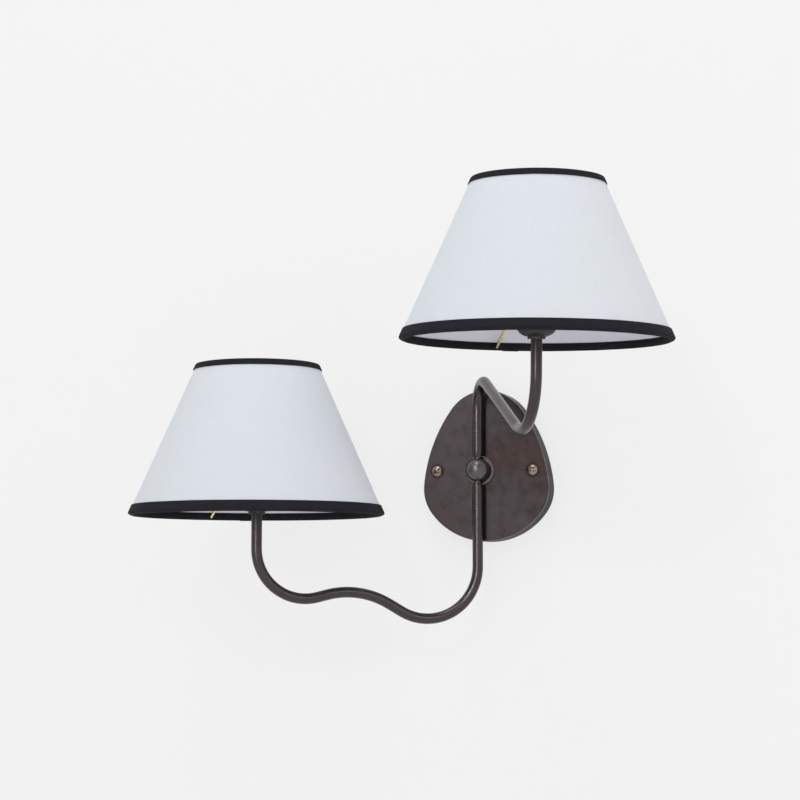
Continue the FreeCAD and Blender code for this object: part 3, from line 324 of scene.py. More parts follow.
def make_patina():
    """Oxidised metal: three tones in clouds, with roughness and small pits."""
    tree, given, result = new_group(
        "patina",
        {"Place": (0.0, 0.0, 0.0), "Film": [0.07, 0.06, 0.065, 1], "Warm": [0.09, 0.05, 0.04, 1],
         "Deep": [0.03, 0.025, 0.025, 1], "Warmth": 0.5, "Smooth": 0.3, "Dull": 0.5},
        {"Color": list, "Roughness": float, "Height": float})
    broad = cloud(tree, given["Place"], 26.0, 5.0, 0.55)
    blot = cloud(tree, given["Place"], 95.0, 5.0, 0.65)
    grain = cloud(tree, given["Place"], 900.0, 3.0, 0.6)
    warm = times(tree, ranged(tree, broad, 0.42, 0.68), given["Warmth"])
    colour = mixed_colour(tree, warm, given["Film"], given["Warm"])
    deep = times(tree, ranged(tree, blot, 0.5, 0.8), 0.45)
    colour = mixed_colour(tree, deep, colour, given["Deep"])
    tree.links.new(colour, result["Color"])
    share = plus(tree, times(tree, blot, 0.7), times(tree, grain, 0.3))
    rough = put(tree, "ShaderNodeMapRange",
                {0: share, 1: 0.35, 2: 0.65, 3: given["Smooth"], 4: given["Dull"]}).outputs[0]
    tree.links.new(rough, result["Roughness"])
    height = plus(tree, times(tree, blot, 0.6), times(tree, grain, 0.4))
    tree.links.new(height, result["Height"])
    return tree


def make_edge_wear():
    """Where the surface turns sharply, broken up by noise."""
    tree, given, result = new_group(
        "edge_wear", {"Place": (0.0, 0.0, 0.0), "Width": 0.0008, "Patchiness": 300.0},
        {"Mask": float})
    soft = put(tree, "ShaderNodeBevel", {"Radius": given["Width"]}, samples=6).outputs[0]
    true = put(tree, "ShaderNodeNewGeometry").outputs["Normal"]
    facing = put(tree, "ShaderNodeVectorMath", {0: soft, 1: true}, operation="DOT_PRODUCT")
    turn = ranged(tree, facing.outputs["Value"], 0.99, 0.80)
    patches = ranged(tree, cloud(tree, given["Place"], given["Patchiness"], 4.0, 0.6), 0.35, 0.6)
    tree.links.new(times(tree, turn, patches), result["Mask"])
    return tree


THREADS = make_threads()
PATINA = make_patina()
EDGE_WEAR = make_edge_wear()


def use_group(tree, group, **inputs):
    node = put(tree, "ShaderNodeGroup", node_tree=group)
    for name, value in inputs.items():
        if isinstance(value, bpy.types.NodeSocket):
            tree.links.new(value, node.inputs[name])
        else:
            node.inputs[name].default_value = value
    return node.outputs


def object_place(tree):
    return put(tree, "ShaderNodeTexCoord").outputs["Object"]


def bump(tree, height, strength, depth):
    inputs = {"Height": height, "Strength": strength, "Distance": depth}
    return put(tree, "ShaderNodeBump", inputs).outputs[0]


def surface(tree, **inputs):
    """The shader itself, with its constants on its own sockets."""
    named = {name.replace("_", " "): value for name, value in inputs.items()}
    shader = put(tree, "ShaderNodeBsdfPrincipled", named)
    put(tree, "ShaderNodeOutputMaterial", {"Surface": shader.outputs[0]})


BRONZE = {
    "Film": (0.084, 0.073, 0.077),
    "Warm": (0.098, 0.066, 0.062),
    "Deep": (0.052, 0.044, 0.046),
}
RUBBED_EDGE = (0.30, 0.26, 0.26, 1)
# Painted highlight colour for rims.
RIM_HIGHLIGHT = (0.36, 0.33, 0.34, 1)
# Painted shade round the screw heads, with the radii where it starts and ends.
SCREW_SHADE = (0.030, 0.016, 0.013, 1)
SCREW_SHADE_FROM, SCREW_SHADE_TO = 0.0055, 0.0080
# Painted shade colour for recesses.
RECESS_SHADE = (0.012, 0.008, 0.007, 1)
LINT = (0.25, 0.24, 0.25, 1)


def bronze(name, warmth, smooth, dull, level, edge_tint=1.0, metallic=1.0, lacquer=0.0, worn=0.35,
           grooves=0.2, along_tube=False, rim=0.0, screws=False):
    """Dark oxidised bronze rubbed lighter on edges, with painted highlight on rims, painted shade
    round screws.
    """
    material = new_material(name)
    tree = material.node_tree
    place = object_place(tree)
    tones = {word: (*[level * part for part in tone], 1) for word, tone in BRONZE.items()}
    coat = use_group(tree, PATINA, Place=place, **tones, Warmth=warmth, Smooth=smooth, Dull=dull)
    colour = coat["Color"]
    # Painted shade: a dark ring on the plate round each screw head.
    if screws:
        parts = put(tree, "ShaderNodeSeparateXYZ", {0: place}).outputs
        across = maths(tree, "ABSOLUTE", parts[0])
        folded = put(tree, "ShaderNodeCombineXYZ", {0: across, 2: parts[2]}).outputs[0]
        away = put(tree, "ShaderNodeVectorMath", {0: folded, 1: (SCREW_ACROSS, 0, 0)},
                   operation="DISTANCE").outputs["Value"]
        ring = ranged(tree, away, SCREW_SHADE_FROM, SCREW_SHADE_TO, 0.85, 0.0)
        colour = mixed_colour(tree, ring, colour, SCREW_SHADE)
    edges = use_group(tree, EDGE_WEAR, Place=place, Width=0.0007)["Mask"]
    colour = mixed_colour(tree, times(tree, edges, worn), colour, RUBBED_EDGE)
    # Painted highlight: lighter where the surface turns from facing out to facing sideways, like
    # light catching the rounded rim.
    if rim:
        turn = put(tree, "ShaderNodeNewGeometry").outputs["Normal"]
        turn = put(tree, "ShaderNodeSeparateXYZ", {0: turn}).outputs[1]
        outward = maths(tree, "ABSOLUTE", turn)
        band = times(tree, ranged(tree, outward, 0.15, 0.5),
                     ranged(tree, outward, 0.8, 0.985, 1.0, 0.0))
        colour = mixed_colour(tree, times(tree, band, rim), colour, RIM_HIGHLIGHT)
    rough = coat["Roughness"]
    height = coat["Height"]
    if along_tube:
        grain = put(tree, "ShaderNodeAttribute", attribute_name="grain").outputs["Vector"]
        rub = cloud(tree, stretched(tree, grain, (1400.0, 1400.0, 60.0)), 1.0, 3.0, 0.6)
        rough = plus(tree, rough, ranged(tree, rub, 0.3, 0.7, -0.03, 0.04))
        height = plus(tree, height, times(tree, rub, 0.5))
        colour = mixed_colour(tree, ranged(tree, rub, 0.35, 0.7, 0.0, 0.3), colour, tones["Warm"])
    surface(tree, Base_Color=colour, Metallic=metallic, Roughness=rough,
            Specular_Tint=grey(edge_tint), Coat_Weight=lacquer, Coat_Roughness=0.25,
            Normal=bump(tree, height, grooves, 0.0001))
    return material


def metal(name, base, dark, smooth, dull, grain_size=900.0, recess_shade=0.0):
    """Plain or plated metal with fine marks, painted shade in its recesses, and bright on its
    edges.
    """
    material = new_material(name)
    tree = material.node_tree
    place = object_place(tree)
    marks = cloud(tree, place, grain_size, 4.0, 0.65)
    blot = cloud(tree, place, grain_size / 8, 4.0, 0.6)
    worn = use_group(tree, EDGE_WEAR, Place=place, Width=0.0003, Patchiness=900.0)["Mask"]
    bright = (*[min(1.0, 1.25 * part) for part in base], 1)
    colour = mixed_colour(tree, ranged(tree, blot, 0.4, 0.75, 0.0, 0.7), (*base, 1), (*dark, 1))
    colour = mixed_colour(tree, times(tree, worn, 0.6), colour, bright)
    # Painted shade: darker where ambient occlusion finds the surface closed in, such as the screws'
    # cross recesses.
    if recess_shade:
        open_share = put(tree, "ShaderNodeAmbientOcclusion", {"Distance": 0.0016}, samples=8)
        closed_in = ranged(tree, open_share.outputs["AO"], 0.45, 0.85, recess_shade, 0.0)
        colour = mixed_colour(tree, closed_in, colour, RECESS_SHADE)
    surface(tree, Base_Color=colour, Metallic=1.0,
            Roughness=ranged(tree, marks, 0.3, 0.7, smooth, dull),
            Normal=bump(tree, marks, 0.3, 0.00004))
    return material


def moulded(name, colour, rough, speck=0.08, shine=0.5):
    """Moulded plastic, rubber or glaze with a slight grain."""
    material = new_material(name)
    tree = material.node_tree
    place = object_place(tree)
    grain = cloud(tree, place, 1400.0, 3.0, 0.6)
    film = cloud(tree, place, 120.0, 4.0, 0.6)
    lighter = (*[min(1.0, part + speck * (1 - part)) for part in colour], 1)
    tone = mixed_colour(tree, ranged(tree, film, 0.4, 0.8), (*colour, 1), lighter)
    surface(tree, Base_Color=tone, Specular_IOR_Level=shine,
            Roughness=ranged(tree, film, 0.3, 0.7, rough - 0.06, rough + 0.08),
            Normal=bump(tree, grain, 0.2, 0.00003))
    return material


def woven(name, colour, dark_yarn_and_gap_shade, pitch, depth, rough, sheen, shine, warp_noise=0.25,
          flecks=0.0):
    """Woven cloth whose threads follow the piece's own flat map."""
    material = new_material(name)
    tree = material.node_tree
    flat = put(tree, "ShaderNodeUVMap", uv_map="UVMap").outputs[0]
    threads = use_group(tree, THREADS, Flat=flat, Pitch=pitch, Unevenness=warp_noise)
    # Painted shade in the gaps between threads, mixed with each thread's own tone.
    gap_shade = ranged(tree, threads["Height"], 0.25, 0.85)
    tone = times(tree, plus(tree, gap_shade, threads["Tone"]), 0.5)
    yarn = mixed_colour(tree, tone, (*dark_yarn_and_gap_shade, 1), (*colour, 1))
    if flecks:
        lint = ranged(tree, cloud(tree, flat, 900.0, 3.0, 0.7), 0.62, 0.80, 0.0, flecks)
        yarn = mixed_colour(tree, lint, yarn, LINT)
    height = plus(tree, threads["Height"], times(tree, threads["Tone"], 0.6))
    surface(tree, Base_Color=yarn, Sheen_Weight=sheen, Sheen_Roughness=0.5,
            Specular_IOR_Level=shine,
            Roughness=ranged(tree, threads["Tone"], 0.0, 1.0, rough - 0.05, rough + 0.05),
            Normal=bump(tree, height, 0.5, depth))
    return material


def opal_glass(name):
    """White frosted glass with a fine grain."""
    material = new_material(name)
    tree = material.node_tree
    frost = cloud(tree, object_place(tree), 1500.0, 2.0, 0.5)
    milk = mixed_colour(
        tree, ranged(tree, frost, 0.3, 0.7), (0.80, 0.81, 0.80, 1), (0.86, 0.87, 0.86, 1))
    surface(tree, Base_Color=milk, Roughness=ranged(tree, frost, 0.3, 0.7, 0.30, 0.40),
            Coat_Weight=0.15, Normal=bump(tree, frost, 0.15, 0.00002))
    return material


FINISH = {
    "bronze": bronze("bronze_cup", warmth=0.4, smooth=0.34, dull=0.46, level=0.75, edge_tint=0.7),
    # The rim bands of the plate and rosette are painted highlights; the rings round the plate's
    # screws are painted shade.
    "bronze_plate": bronze(
        "bronze_plate", warmth=0.8, smooth=0.40, dull=0.52, level=0.52, edge_tint=0.7, rim=0.6,
        screws=True),
    "bronze_rosette": bronze(
        "bronze_rosette", warmth=0.4, smooth=0.30, dull=0.42, level=0.8, edge_tint=0.9, rim=0.4),
    "bronze_tube": bronze(
        "bronze_tube", warmth=0.5, smooth=0.26, dull=0.34, level=0.7, metallic=0.95, lacquer=0.3,
        worn=0.0, grooves=0.08, along_tube=True),
    "bronze_ball": bronze(
        "bronze_ball", warmth=0.3, smooth=0.32, dull=0.42, level=1.05, metallic=0.8, lacquer=0.9,
        worn=0.0, grooves=0.1),
    "zinc_steel": metal("zinc_steel", (0.62, 0.62, 0.60), (0.42, 0.42, 0.40), 0.28, 0.45),
    "brass": metal("brass", (0.83, 0.70, 0.34), (0.42, 0.31, 0.13), 0.20, 0.36),
    "dark_brass": metal("dark_brass", (0.13, 0.10, 0.06), (0.05, 0.04, 0.03), 0.28, 0.42),
    "worn_copper": metal(
        "worn_copper", (0.33, 0.26, 0.22), (0.10, 0.065, 0.05), 0.16, 0.30, grain_size=1500.0,
        recess_shade=0.95),
    "green_paint": moulded("green_paint", (0.035, 0.22, 0.07), 0.38),
    "black_washer": moulded("black_washer", (0.02, 0.019, 0.02), 0.55),
    "black_plastic": moulded("black_plastic", (0.022, 0.021, 0.022), 0.33, speck=0.03),
    "porcelain": moulded("porcelain", (0.80, 0.79, 0.74), 0.22, speck=0.1, shine=0.6),
    "lamp_metal": metal("lamp_metal", (0.72, 0.72, 0.70), (0.5, 0.5, 0.48), 0.2, 0.35),
    "frosted_glass": opal_glass("opal_glass"),
    "white_cloth": woven(
        "white_cloth", (0.725, 0.76, 0.805), (0.66, 0.69, 0.73), pitch=0.00042, depth=0.00006,
        rough=0.9, sheen=0.05, shine=0.25),
    "liner": moulded("liner", (0.79, 0.79, 0.86), 0.5, speck=0.06, shine=0.3),
    "black_tape": woven(
        "black_tape", (0.024, 0.0235, 0.030), (0.012, 0.0118, 0.015), pitch=0.0005, depth=0.00012,
        rough=0.85, sheen=0.01, shine=0.06, warp_noise=0.3, flecks=0.15),
}
WEARS = {
    "bronze_plate": ["wall_plate"],
    "bronze_rosette": ["hub_rosette"],
    "bronze_ball": ["hub_ball"],
    "zinc_steel": ["mounting_bracket", "hub_nipple", "hub_lock_washer", "pivot_screws"],
    "brass": ["hub_locknut"],
    "worn_copper": ["canopy_screws"],
    "green_paint": ["ground_screw"],
}
ARM_WEARS = {
    "bronze": ["holder_cup"],
    "bronze_tube": ["arm_tube"],
    "brass": ["centre_contact", "thread_shell", "shade_carrier"],
    "dark_brass": ["pivot_spigot"],
    "black_washer": ["seat_washer"],
    "zinc_steel": ["holder_nipple", "holder_nut", "bottom_wire_ring", "top_wire_ring"],
    "black_plastic": ["holder_base", "holder_skirt", "shade_ring"],
    "porcelain": ["holder_core"],
    "lamp_metal": ["lamp_cap"],
    "frosted_glass": ["lamp_glass"],
    "white_cloth": ["shade_cloth"],
    "liner": ["shade_liner"],
    "black_tape": ["bottom_trim", "top_trim"],
}


def dress_nodes():
    """Gives each CAD node its finish."""
    worn_by = {node: finish for finish, nodes in WEARS.items() for node in nodes}
    for finish, nodes in ARM_WEARS.items():
        worn_by.update({f"{arm}_{node}": finish for arm in ARMS for node in nodes})
    for name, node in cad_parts.items():
        node.data.materials.clear()
        node.data.materials.append(FINISH[worn_by[name]])


dress_nodes()


# ---- places and plain shapes -------------------------------------------------------------------

def arm_place(arm):
    return Matrix.Translation(HUB) @ Matrix.Rotation(math.radians(SWING[arm]), 4, "Z")


def stem_place(arm):
    """Z runs up the stem from the ball. The lower arm's stem hangs down."""
    return arm_place(arm) @ Matrix.Rotation(math.pi if arm == "lower" else 0.0, 4, "X")


def head_place(arm):
    """Z runs up the lampholder from the level of the shade's bottom rim."""
    lean = Matrix.Rotation(math.radians(LEAN[arm]), 4, "Y")
    return arm_place(arm) @ Matrix.Translation((REACH, 0, HEAD_HEIGHT[arm])) @ lean


def on_shade(end, inset, along):
    """Radius and height of a point so far inside the cone and so far up its slope from one end."""
    across, up = math.sin(SHADE_SLOPE), math.cos(SHADE_SLOPE)
    level = SHADE_RISE if end == "top" else 0.0
    return SHADE[end] - along * across - inset * up, level + along * up - inset * across


def on_circle(radius, angle, height):
    return radius * math.cos(angle), radius * math.sin(angle), height


def rounded(corners, radii, steps=6):
    """A closed outline with its corners rounded, as points."""
    points = []
    for index, corner in enumerate(corners):
        here = Vector(corner)
        back = Vector(corners[index - 1]) - here
        ahead = Vector(corners[(index + 1) % len(corners)]) - here
        half = back.angle(ahead) / 2
        length = min(radii[index] / math.tan(half), 0.49 * back.length, 0.49 * ahead.length)
        if length < 1e-6:
            points.append(here)
            continue
        radius = length * math.tan(half)
        inward = (back.normalized() + ahead.normalized()).normalized()
        middle = here + inward * (radius / math.sin(half))
        first = here + back.normalized() * length - middle
        last = here + ahead.normalized() * length - middle
        turn = first.angle(last)
        for step in range(steps + 1):
            share = step / steps
            blend = first * math.sin((1 - share) * turn) + last * math.sin(share * turn)
            points.append(middle + blend / math.sin(turn))
    return points


def turned(outline, sides):
    """A closed mesh turned about Z from points of radius and height."""
    bm = bmesh.new()
    rings = []
    for radius, height in outline:
        count = 1 if radius < 1e-7 else sides
        spots = [on_circle(radius, math.tau * index / sides, height) for index in range(count)]
        rings.append([bm.verts.new(spot) for spot in spots])
    for low, high in zip(rings, rings[1:] + rings[:1]):
        for index in range(sides):
            after = (index + 1) % sides
            corners = [low[index % len(low)], low[after % len(low)],
                       high[after % len(high)], high[index % len(high)]]
            corners = list(dict.fromkeys(corners))
            if len(corners) > 2:
                bm.faces.new(corners)
    bmesh.ops.recalc_face_normals(bm, faces=bm.faces)
    mesh = bpy.data.meshes.new("turned")
    bm.to_mesh(mesh)
    bm.free()
    return mesh


def line_mesh(points, closed=False, **values):
    """Points joined by edges, with a number for each point under each name."""
    mesh = bpy.data.meshes.new("line")
    edges = [(index, index + 1) for index in range(len(points) - 1)]
    mesh.from_pydata(points, edges + ([(len(points) - 1, 0)] if closed else []), [])
    for name, numbers in values.items():
        mesh.attributes.new(name, "FLOAT", "POINT").data.foreach_set("value", numbers)
    return mesh


def new_piece(name, mesh, finish, arm, place, stands_for, sharp=40.0):
    """Puts a finished mesh in place on its arm, instead of the CAD nodes."""
    mesh.name = name
    mesh.transform(place)
    mesh.materials.clear()
    mesh.materials.append(FINISH[finish])
    mesh.shade_smooth()
    mesh.set_sharp_from_angle(angle=math.radians(sharp))
    piece = bpy.data.objects.new(name, mesh)
    bpy.context.scene.collection.objects.link(piece)
    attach(piece, f"{arm}_arm")
    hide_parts(*[f"{arm}_{node}" for node in stands_for])
    return piece


# ---- geometry node tools -----------------------------------------------------------------------

TOOL_SOCKETS = {float: "NodeSocketFloat", int: "NodeSocketInt", bool: "NodeSocketBool"}


def new_tool(name, sizes):
    """A geometry node group with named sizes. Geometry goes in and comes out, with its material."""
    tool = bpy.data.node_groups.new(name, "GeometryNodeTree")
    sockets = tool.interface
    sockets.new_socket("Geometry", in_out="INPUT", socket_type="NodeSocketGeometry")
    for label, default in sizes.items():
        kind = TOOL_SOCKETS[type(default)]
        sockets.new_socket(label, in_out="INPUT", socket_type=kind).default_value = default
    sockets.new_socket("Material", in_out="INPUT", socket_type="NodeSocketMaterial")
    sockets.new_socket("Geometry", in_out="OUTPUT", socket_type="NodeSocketGeometry")
    return tool, put(tool, "NodeGroupInput").outputs


def finish_tool(tool, given, geometry):
    real = put(tool, "GeometryNodeRealizeInstances", {0: geometry}).outputs[0]
    inputs = {"Geometry": real, "Material": given["Material"]}
    painted = put(tool, "GeometryNodeSetMaterial", inputs).outputs[0]
    put(tool, "NodeGroupOutput", {"Geometry": painted})
    return tool


def store(tool, geometry, name, value, kind="FLOAT", domain="POINT"):
    node = put(tool, "GeometryNodeStoreNamedAttribute", {"Geometry": geometry, "Name": name},
               data_type=kind, domain=domain)
    tool.links.new(value, node.inputs["Value"])
    return node.outputs[0]


def stored(tool, name, kind="FLOAT"):
    node = put(tool, "GeometryNodeInputNamedAttribute", {"Name": name}, data_type=kind)
    return node.outputs["Attribute"]


def made_by(tool, source, finish, wall=0.0, **sizes):
    """The plain mesh that a tool makes of a source mesh, with a wall of that thickness inwards."""
    carrier = bpy.data.objects.new(tool.name, source)
    bpy.context.scene.collection.objects.link(carrier)
    step = carrier.modifiers.new(tool.name, "NODES")
    step.node_group = tool
    sizes["Material"] = FINISH[finish]
    for item in tool.interface.items_tree:
        if item.item_type == "SOCKET" and item.in_out == "INPUT" and item.name in sizes:
            step[item.identifier] = sizes[item.name]
    if wall:
        skin = carrier.modifiers.new("wall", "SOLIDIFY")
        skin.thickness = wall
        skin.offset = -1.0
        skin.use_even_offset = True
    bpy.context.view_layer.update()
    shape = carrier.evaluated_get(bpy.context.evaluated_depsgraph_get())
    mesh = bpy.data.meshes.new_from_object(shape)
    bpy.data.objects.remove(carrier)
    return mesh


def make_tube_bender():
    """Draws a round tube along a line, thinner where the line's girth is below one."""
    tool, given = new_tool("tube_bender", {"Radius": 0.0048, "Sides": 40, "Step": 0.0015})
    line = put(tool, "GeometryNodeMeshToCurve", {"Mesh": given["Geometry"]}).outputs[0]
    line = put(tool, "GeometryNodeResampleCurve", {"Curve": line, "Length": given["Step"]},
               mode="LENGTH").outputs[0]
    ring = put(tool, "GeometryNodeCurvePrimitiveCircle",
               {"Resolution": given["Sides"], "Radius": given["Radius"]}).outputs[0]
    place = put(tool, "GeometryNodeInputPosition").outputs[0]
    ring = store(tool, ring, "round", place, "FLOAT_VECTOR")
    tube = put(tool, "GeometryNodeCurveToMesh",
               {"Curve": line, "Profile Curve": ring, "Scale": stored(tool, "girth")}).outputs[0]
    across = put(tool, "ShaderNodeSeparateXYZ", {0: stored(tool, "round", "FLOAT_VECTOR")}).outputs
    grain = put(tool, "ShaderNodeCombineXYZ",
                {0: across[0], 1: across[1], 2: stored(tool, "run")}).outputs[0]
    tube = store(tool, tube, "grain", grain, "FLOAT_VECTOR")
    return finish_tool(tool, given, tube)


def make_tape_binder():
    """Carries a tape's section round a rim, all the way or for an arc, with a slight unevenness."""
    tool, given = new_tool("tape_binder", {
        "Radius": 0.11, "Whole": True, "Start": 0.0, "Sweep": 0.1, "Steps": 480, "Wobble": 0.0004,
        "Wave": 30.0, "Seed": 0.0})
    size = {"Resolution": given["Steps"], "Radius": given["Radius"]}
    whole = put(tool, "GeometryNodeCurvePrimitiveCircle", size).outputs[0]
    part = put(tool, "GeometryNodeCurveArc", {
        **size, "Start Angle": given["Start"], "Sweep Angle": given["Sweep"]}).outputs[0]
    rim = put(tool, "GeometryNodeSwitch", {
        "Switch": given["Whole"], "False": part, "True": whole}, input_type="GEOMETRY").outputs[0]
    rim = put(tool, "GeometryNodeSetCurveNormal", {"Curve": rim}, mode="Z_UP").outputs[0]
    rim = store(tool, rim, "run", put(tool, "GeometryNodeSplineParameter").outputs["Length"])
    section = put(tool, "GeometryNodeMeshToCurve", {"Mesh": given["Geometry"]}).outputs[0]
    across = put(tool, "GeometryNodeSplineParameter").outputs["Length"]
    section = store(tool, section, "across", across)
    band = put(tool, "GeometryNodeCurveToMesh", {
        "Curve": rim, "Profile Curve": section, "Fill Caps": True}).outputs[0]
    place = put(tool, "GeometryNodeInputPosition").outputs[0]
    drift = put(tool, "ShaderNodeTexNoise", {
        "Vector": place, "W": given["Seed"], "Scale": given["Wave"], "Detail": 3.0,
        "Roughness": 0.55}, noise_dimensions="4D")
    drift = drifting(tool, drift, given["Wobble"])
    band = put(tool, "GeometryNodeSetPosition", {"Geometry": band, "Offset": drift}).outputs[0]
    flat = put(tool, "ShaderNodeCombineXYZ", {
        0: stored(tool, "run"), 1: stored(tool, "across")}).outputs[0]
    band = store(tool, band, "UVMap", flat, "FLOAT2", "CORNER")
    return finish_tool(tool, given, band)


def make_ribber():
    """Stands upright ribs round a turned ring."""
    tool, given = new_tool("ribber", {
        "Radius": 0.0184, "Height": 0.0555, "Count": 44, "Rib": 0.00055, "Length": 0.0042})
    circle = put(tool, "GeometryNodeCurvePrimitiveCircle", {
        "Resolution": given["Count"], "Radius": given["Radius"]}).outputs[0]
    spots = put(tool, "GeometryNodeCurveToPoints", {"Curve": circle}, mode="EVALUATED").outputs[0]
    rib = put(tool, "GeometryNodeMeshCylinder", {
        "Vertices": 8, "Side Segments": 1, "Radius": given["Rib"],
        "Depth": given["Length"]}).outputs["Mesh"]
    ribs = put(tool, "GeometryNodeInstanceOnPoints", {"Points": spots, "Instance": rib}).outputs[0]
    lift = put(tool, "ShaderNodeCombineXYZ", {2: given["Height"]}).outputs[0]
    ribs = put(tool, "GeometryNodeTransform", {"Geometry": ribs, "Translation": lift}).outputs[0]
    both = put(tool, "GeometryNodeJoinGeometry")
    tool.links.new(ribs, both.inputs[0])
    tool.links.new(given["Geometry"], both.inputs[0])
    return finish_tool(tool, given, both.outputs[0])


TUBE_BENDER = make_tube_bender()
TAPE_BINDER = make_tape_binder()
RIBBER = make_ribber()


# ---- arm tubes ---------------------------------------------------------------------------------

NECK_STEPS, RUN_STEPS, BEND_STEPS = 10, 20, 48


def ahead_at(heading):
    return Vector((math.cos(heading), math.sin(heading)))


def solve_runs(arm, headings):
    """The tube's straight runs. The last two are worked out from where the tube has to end."""
    lean = math.radians(LEAN[arm])
    over = -1 if arm == "lower" else 1
    rise = over * (HEAD_HEIGHT[arm] + TUBE_END * math.cos(lean))
    left = Vector((REACH + TUBE_END * math.sin(lean), rise)) - Vector((0, NECK_TOP))
    for before, after, radius in zip(headings, headings[1:], BENDS[arm]["radii"]):
        side = math.copysign(radius, after - before)
        turn = Vector((math.sin(after) - math.sin(before), math.cos(before) - math.cos(after)))
        left -= side * turn
    runs = list(BENDS[arm]["runs"])
    for heading, run in zip(headings, runs):
        left -= run * ahead_at(heading)
    first, last = headings[-2:]
    span = math.sin(last - first)
    runs.append((left.x * math.sin(last) - left.y * math.cos(last)) / span)
    runs.append((left.y * math.cos(first) - left.x * math.sin(first)) / span)
    return runs


def tube_line(arm):
    """Points along the tube's middle in the stem's frame, the length so far, and the girth."""
    headings = [math.radians(heading) for heading in BENDS[arm]["headings"]]
    radii = BENDS[arm]["radii"]
    neck = NECK_TOP - NECK_START
    points = [Vector((0, NECK_START + neck * step / NECK_STEPS)) for step in range(NECK_STEPS + 1)]
    place = Vector((0, NECK_TOP))
    for index, (heading, run) in enumerate(zip(headings, solve_runs(arm, headings))):
        ahead = ahead_at(heading)
        points += [place + ahead * run * step / RUN_STEPS for step in range(1, RUN_STEPS + 1)]
        place = points[-1]
        if index < len(radii):
            after = headings[index + 1]
            side = math.copysign(1.0, after - heading)
            middle = place + side * radii[index] * Vector((-ahead.y, ahead.x))
            for step in range(1, BEND_STEPS + 1):
                angle = heading + (after - heading) * step / BEND_STEPS - side * math.pi / 2
                points.append(middle + radii[index] * ahead_at(angle))
            place = points[-1]
    lengths = [0.0]
    for before, after in zip(points, points[1:]):
        lengths.append(lengths[-1] + (after - before).length)
    girths = []
    for length in lengths:
        share = min(1.0, length / (NECK_FULL - NECK_START))
        eased = share * (2 - share)
        girths.append((NECK_RADIUS + (TUBE_RADIUS - NECK_RADIUS) * eased) / TUBE_RADIUS)
    return [(point.x, 0.0, point.y) for point in points], lengths, girths


def bend_tube(arm):
    points, lengths, girths = tube_line(arm)
    line = line_mesh(points, run=lengths, girth=girths)
    mesh = made_by(TUBE_BENDER, line, "bronze_tube", wall=TUBE_WALL, Radius=TUBE_RADIUS)
    new_piece(f"{arm}_bent_tube", mesh, "bronze_tube", arm, stem_place(arm), ["arm_tube"])


# ---- shades ------------------------------------------------------------------------------------

def cut_cloth(arm):
    """The cloth as it is cut, rolled into a cone with its two ends lapped and stuck."""
    from_apex = SHADE["bottom"] / math.sin(SHADE_SLOPE)
    slant = SHADE_RISE / math.cos(SHADE_SLOPE)
    lap = SEAM_LAP / SHADE["bottom"]
    start = math.radians(SEAM_HEADING - SWING[arm])
    columns = [(math.tau + lap) * step / CLOTH_COLUMNS for step in range(CLOTH_COLUMNS + 1)]
    bm = bmesh.new()
    flat = bm.loops.layers.uv.new("UVMap")
    grid, flats = [], []
    for row in range(CLOTH_ROWS + 1):
        along = -CLOTH_BELOW + (slant + CLOTH_BELOW + CLOTH_ABOVE) * row / CLOTH_ROWS
        verts, spots = [], []
        for angle in columns:
            lift = SEAM_RISE * max(0.0, min(1.0, (angle - math.tau + 2 * lap) / lap))
            spot = Vector((WAVES_ROUND * angle, WAVES_UP * along, WAVES_SEED))
            wave = CLOTH_WAVE * (0.5 + 0.5 * noise.noise(spot))
            calm = math.sin(math.pi * min(1.0, max(0.0, angle / (math.tau - 2 * lap))))
            radius, height = on_shade("bottom", -lift - wave * calm, along)
            verts.append(bm.verts.new(on_circle(radius, start + angle, height)))
            turn = (angle - math.pi) * math.sin(SHADE_SLOPE)
            left = from_apex - along
            spots.append((left * math.sin(turn), -left * math.cos(turn)))
        grid.append(verts)
        flats.append(spots)
    for row in range(CLOTH_ROWS):
        for column in range(CLOTH_COLUMNS):
            corners = ((row, column), (row, column + 1), (row + 1, column + 1), (row + 1, column))
            face = bm.faces.new([grid[r][c] for r, c in corners])
            for loop, (r, c) in zip(face.loops, corners):
                loop[flat].uv = flats[r][c]
    mesh = bpy.data.meshes.new("cloth")
    bm.to_mesh(mesh)
    bm.free()
    widest = from_apex + CLOTH_BELOW
    narrowest = from_apex - slant - CLOTH_ABOVE
    half = (math.pi + lap / 2) * math.sin(SHADE_SLOPE)
    size = (2 * widest * math.sin(half), widest - narrowest * math.cos(half))
    return mesh, size, half * (widest ** 2 - narrowest ** 2)


def section_mesh(end, corners):
    """A tape's section, laid flat about the rim."""
    places = [on_shade(end, inset / 1000, along / 1000) for inset, along, _ in corners]
    outline = rounded(places, [radius / 1000 for _, _, radius in corners])
    level = SHADE_RISE if end == "top" else 0.0
    points = [(radius - SHADE[end], level - height, 0.0) for radius, height in outline]
    return line_mesh(points, closed=True)


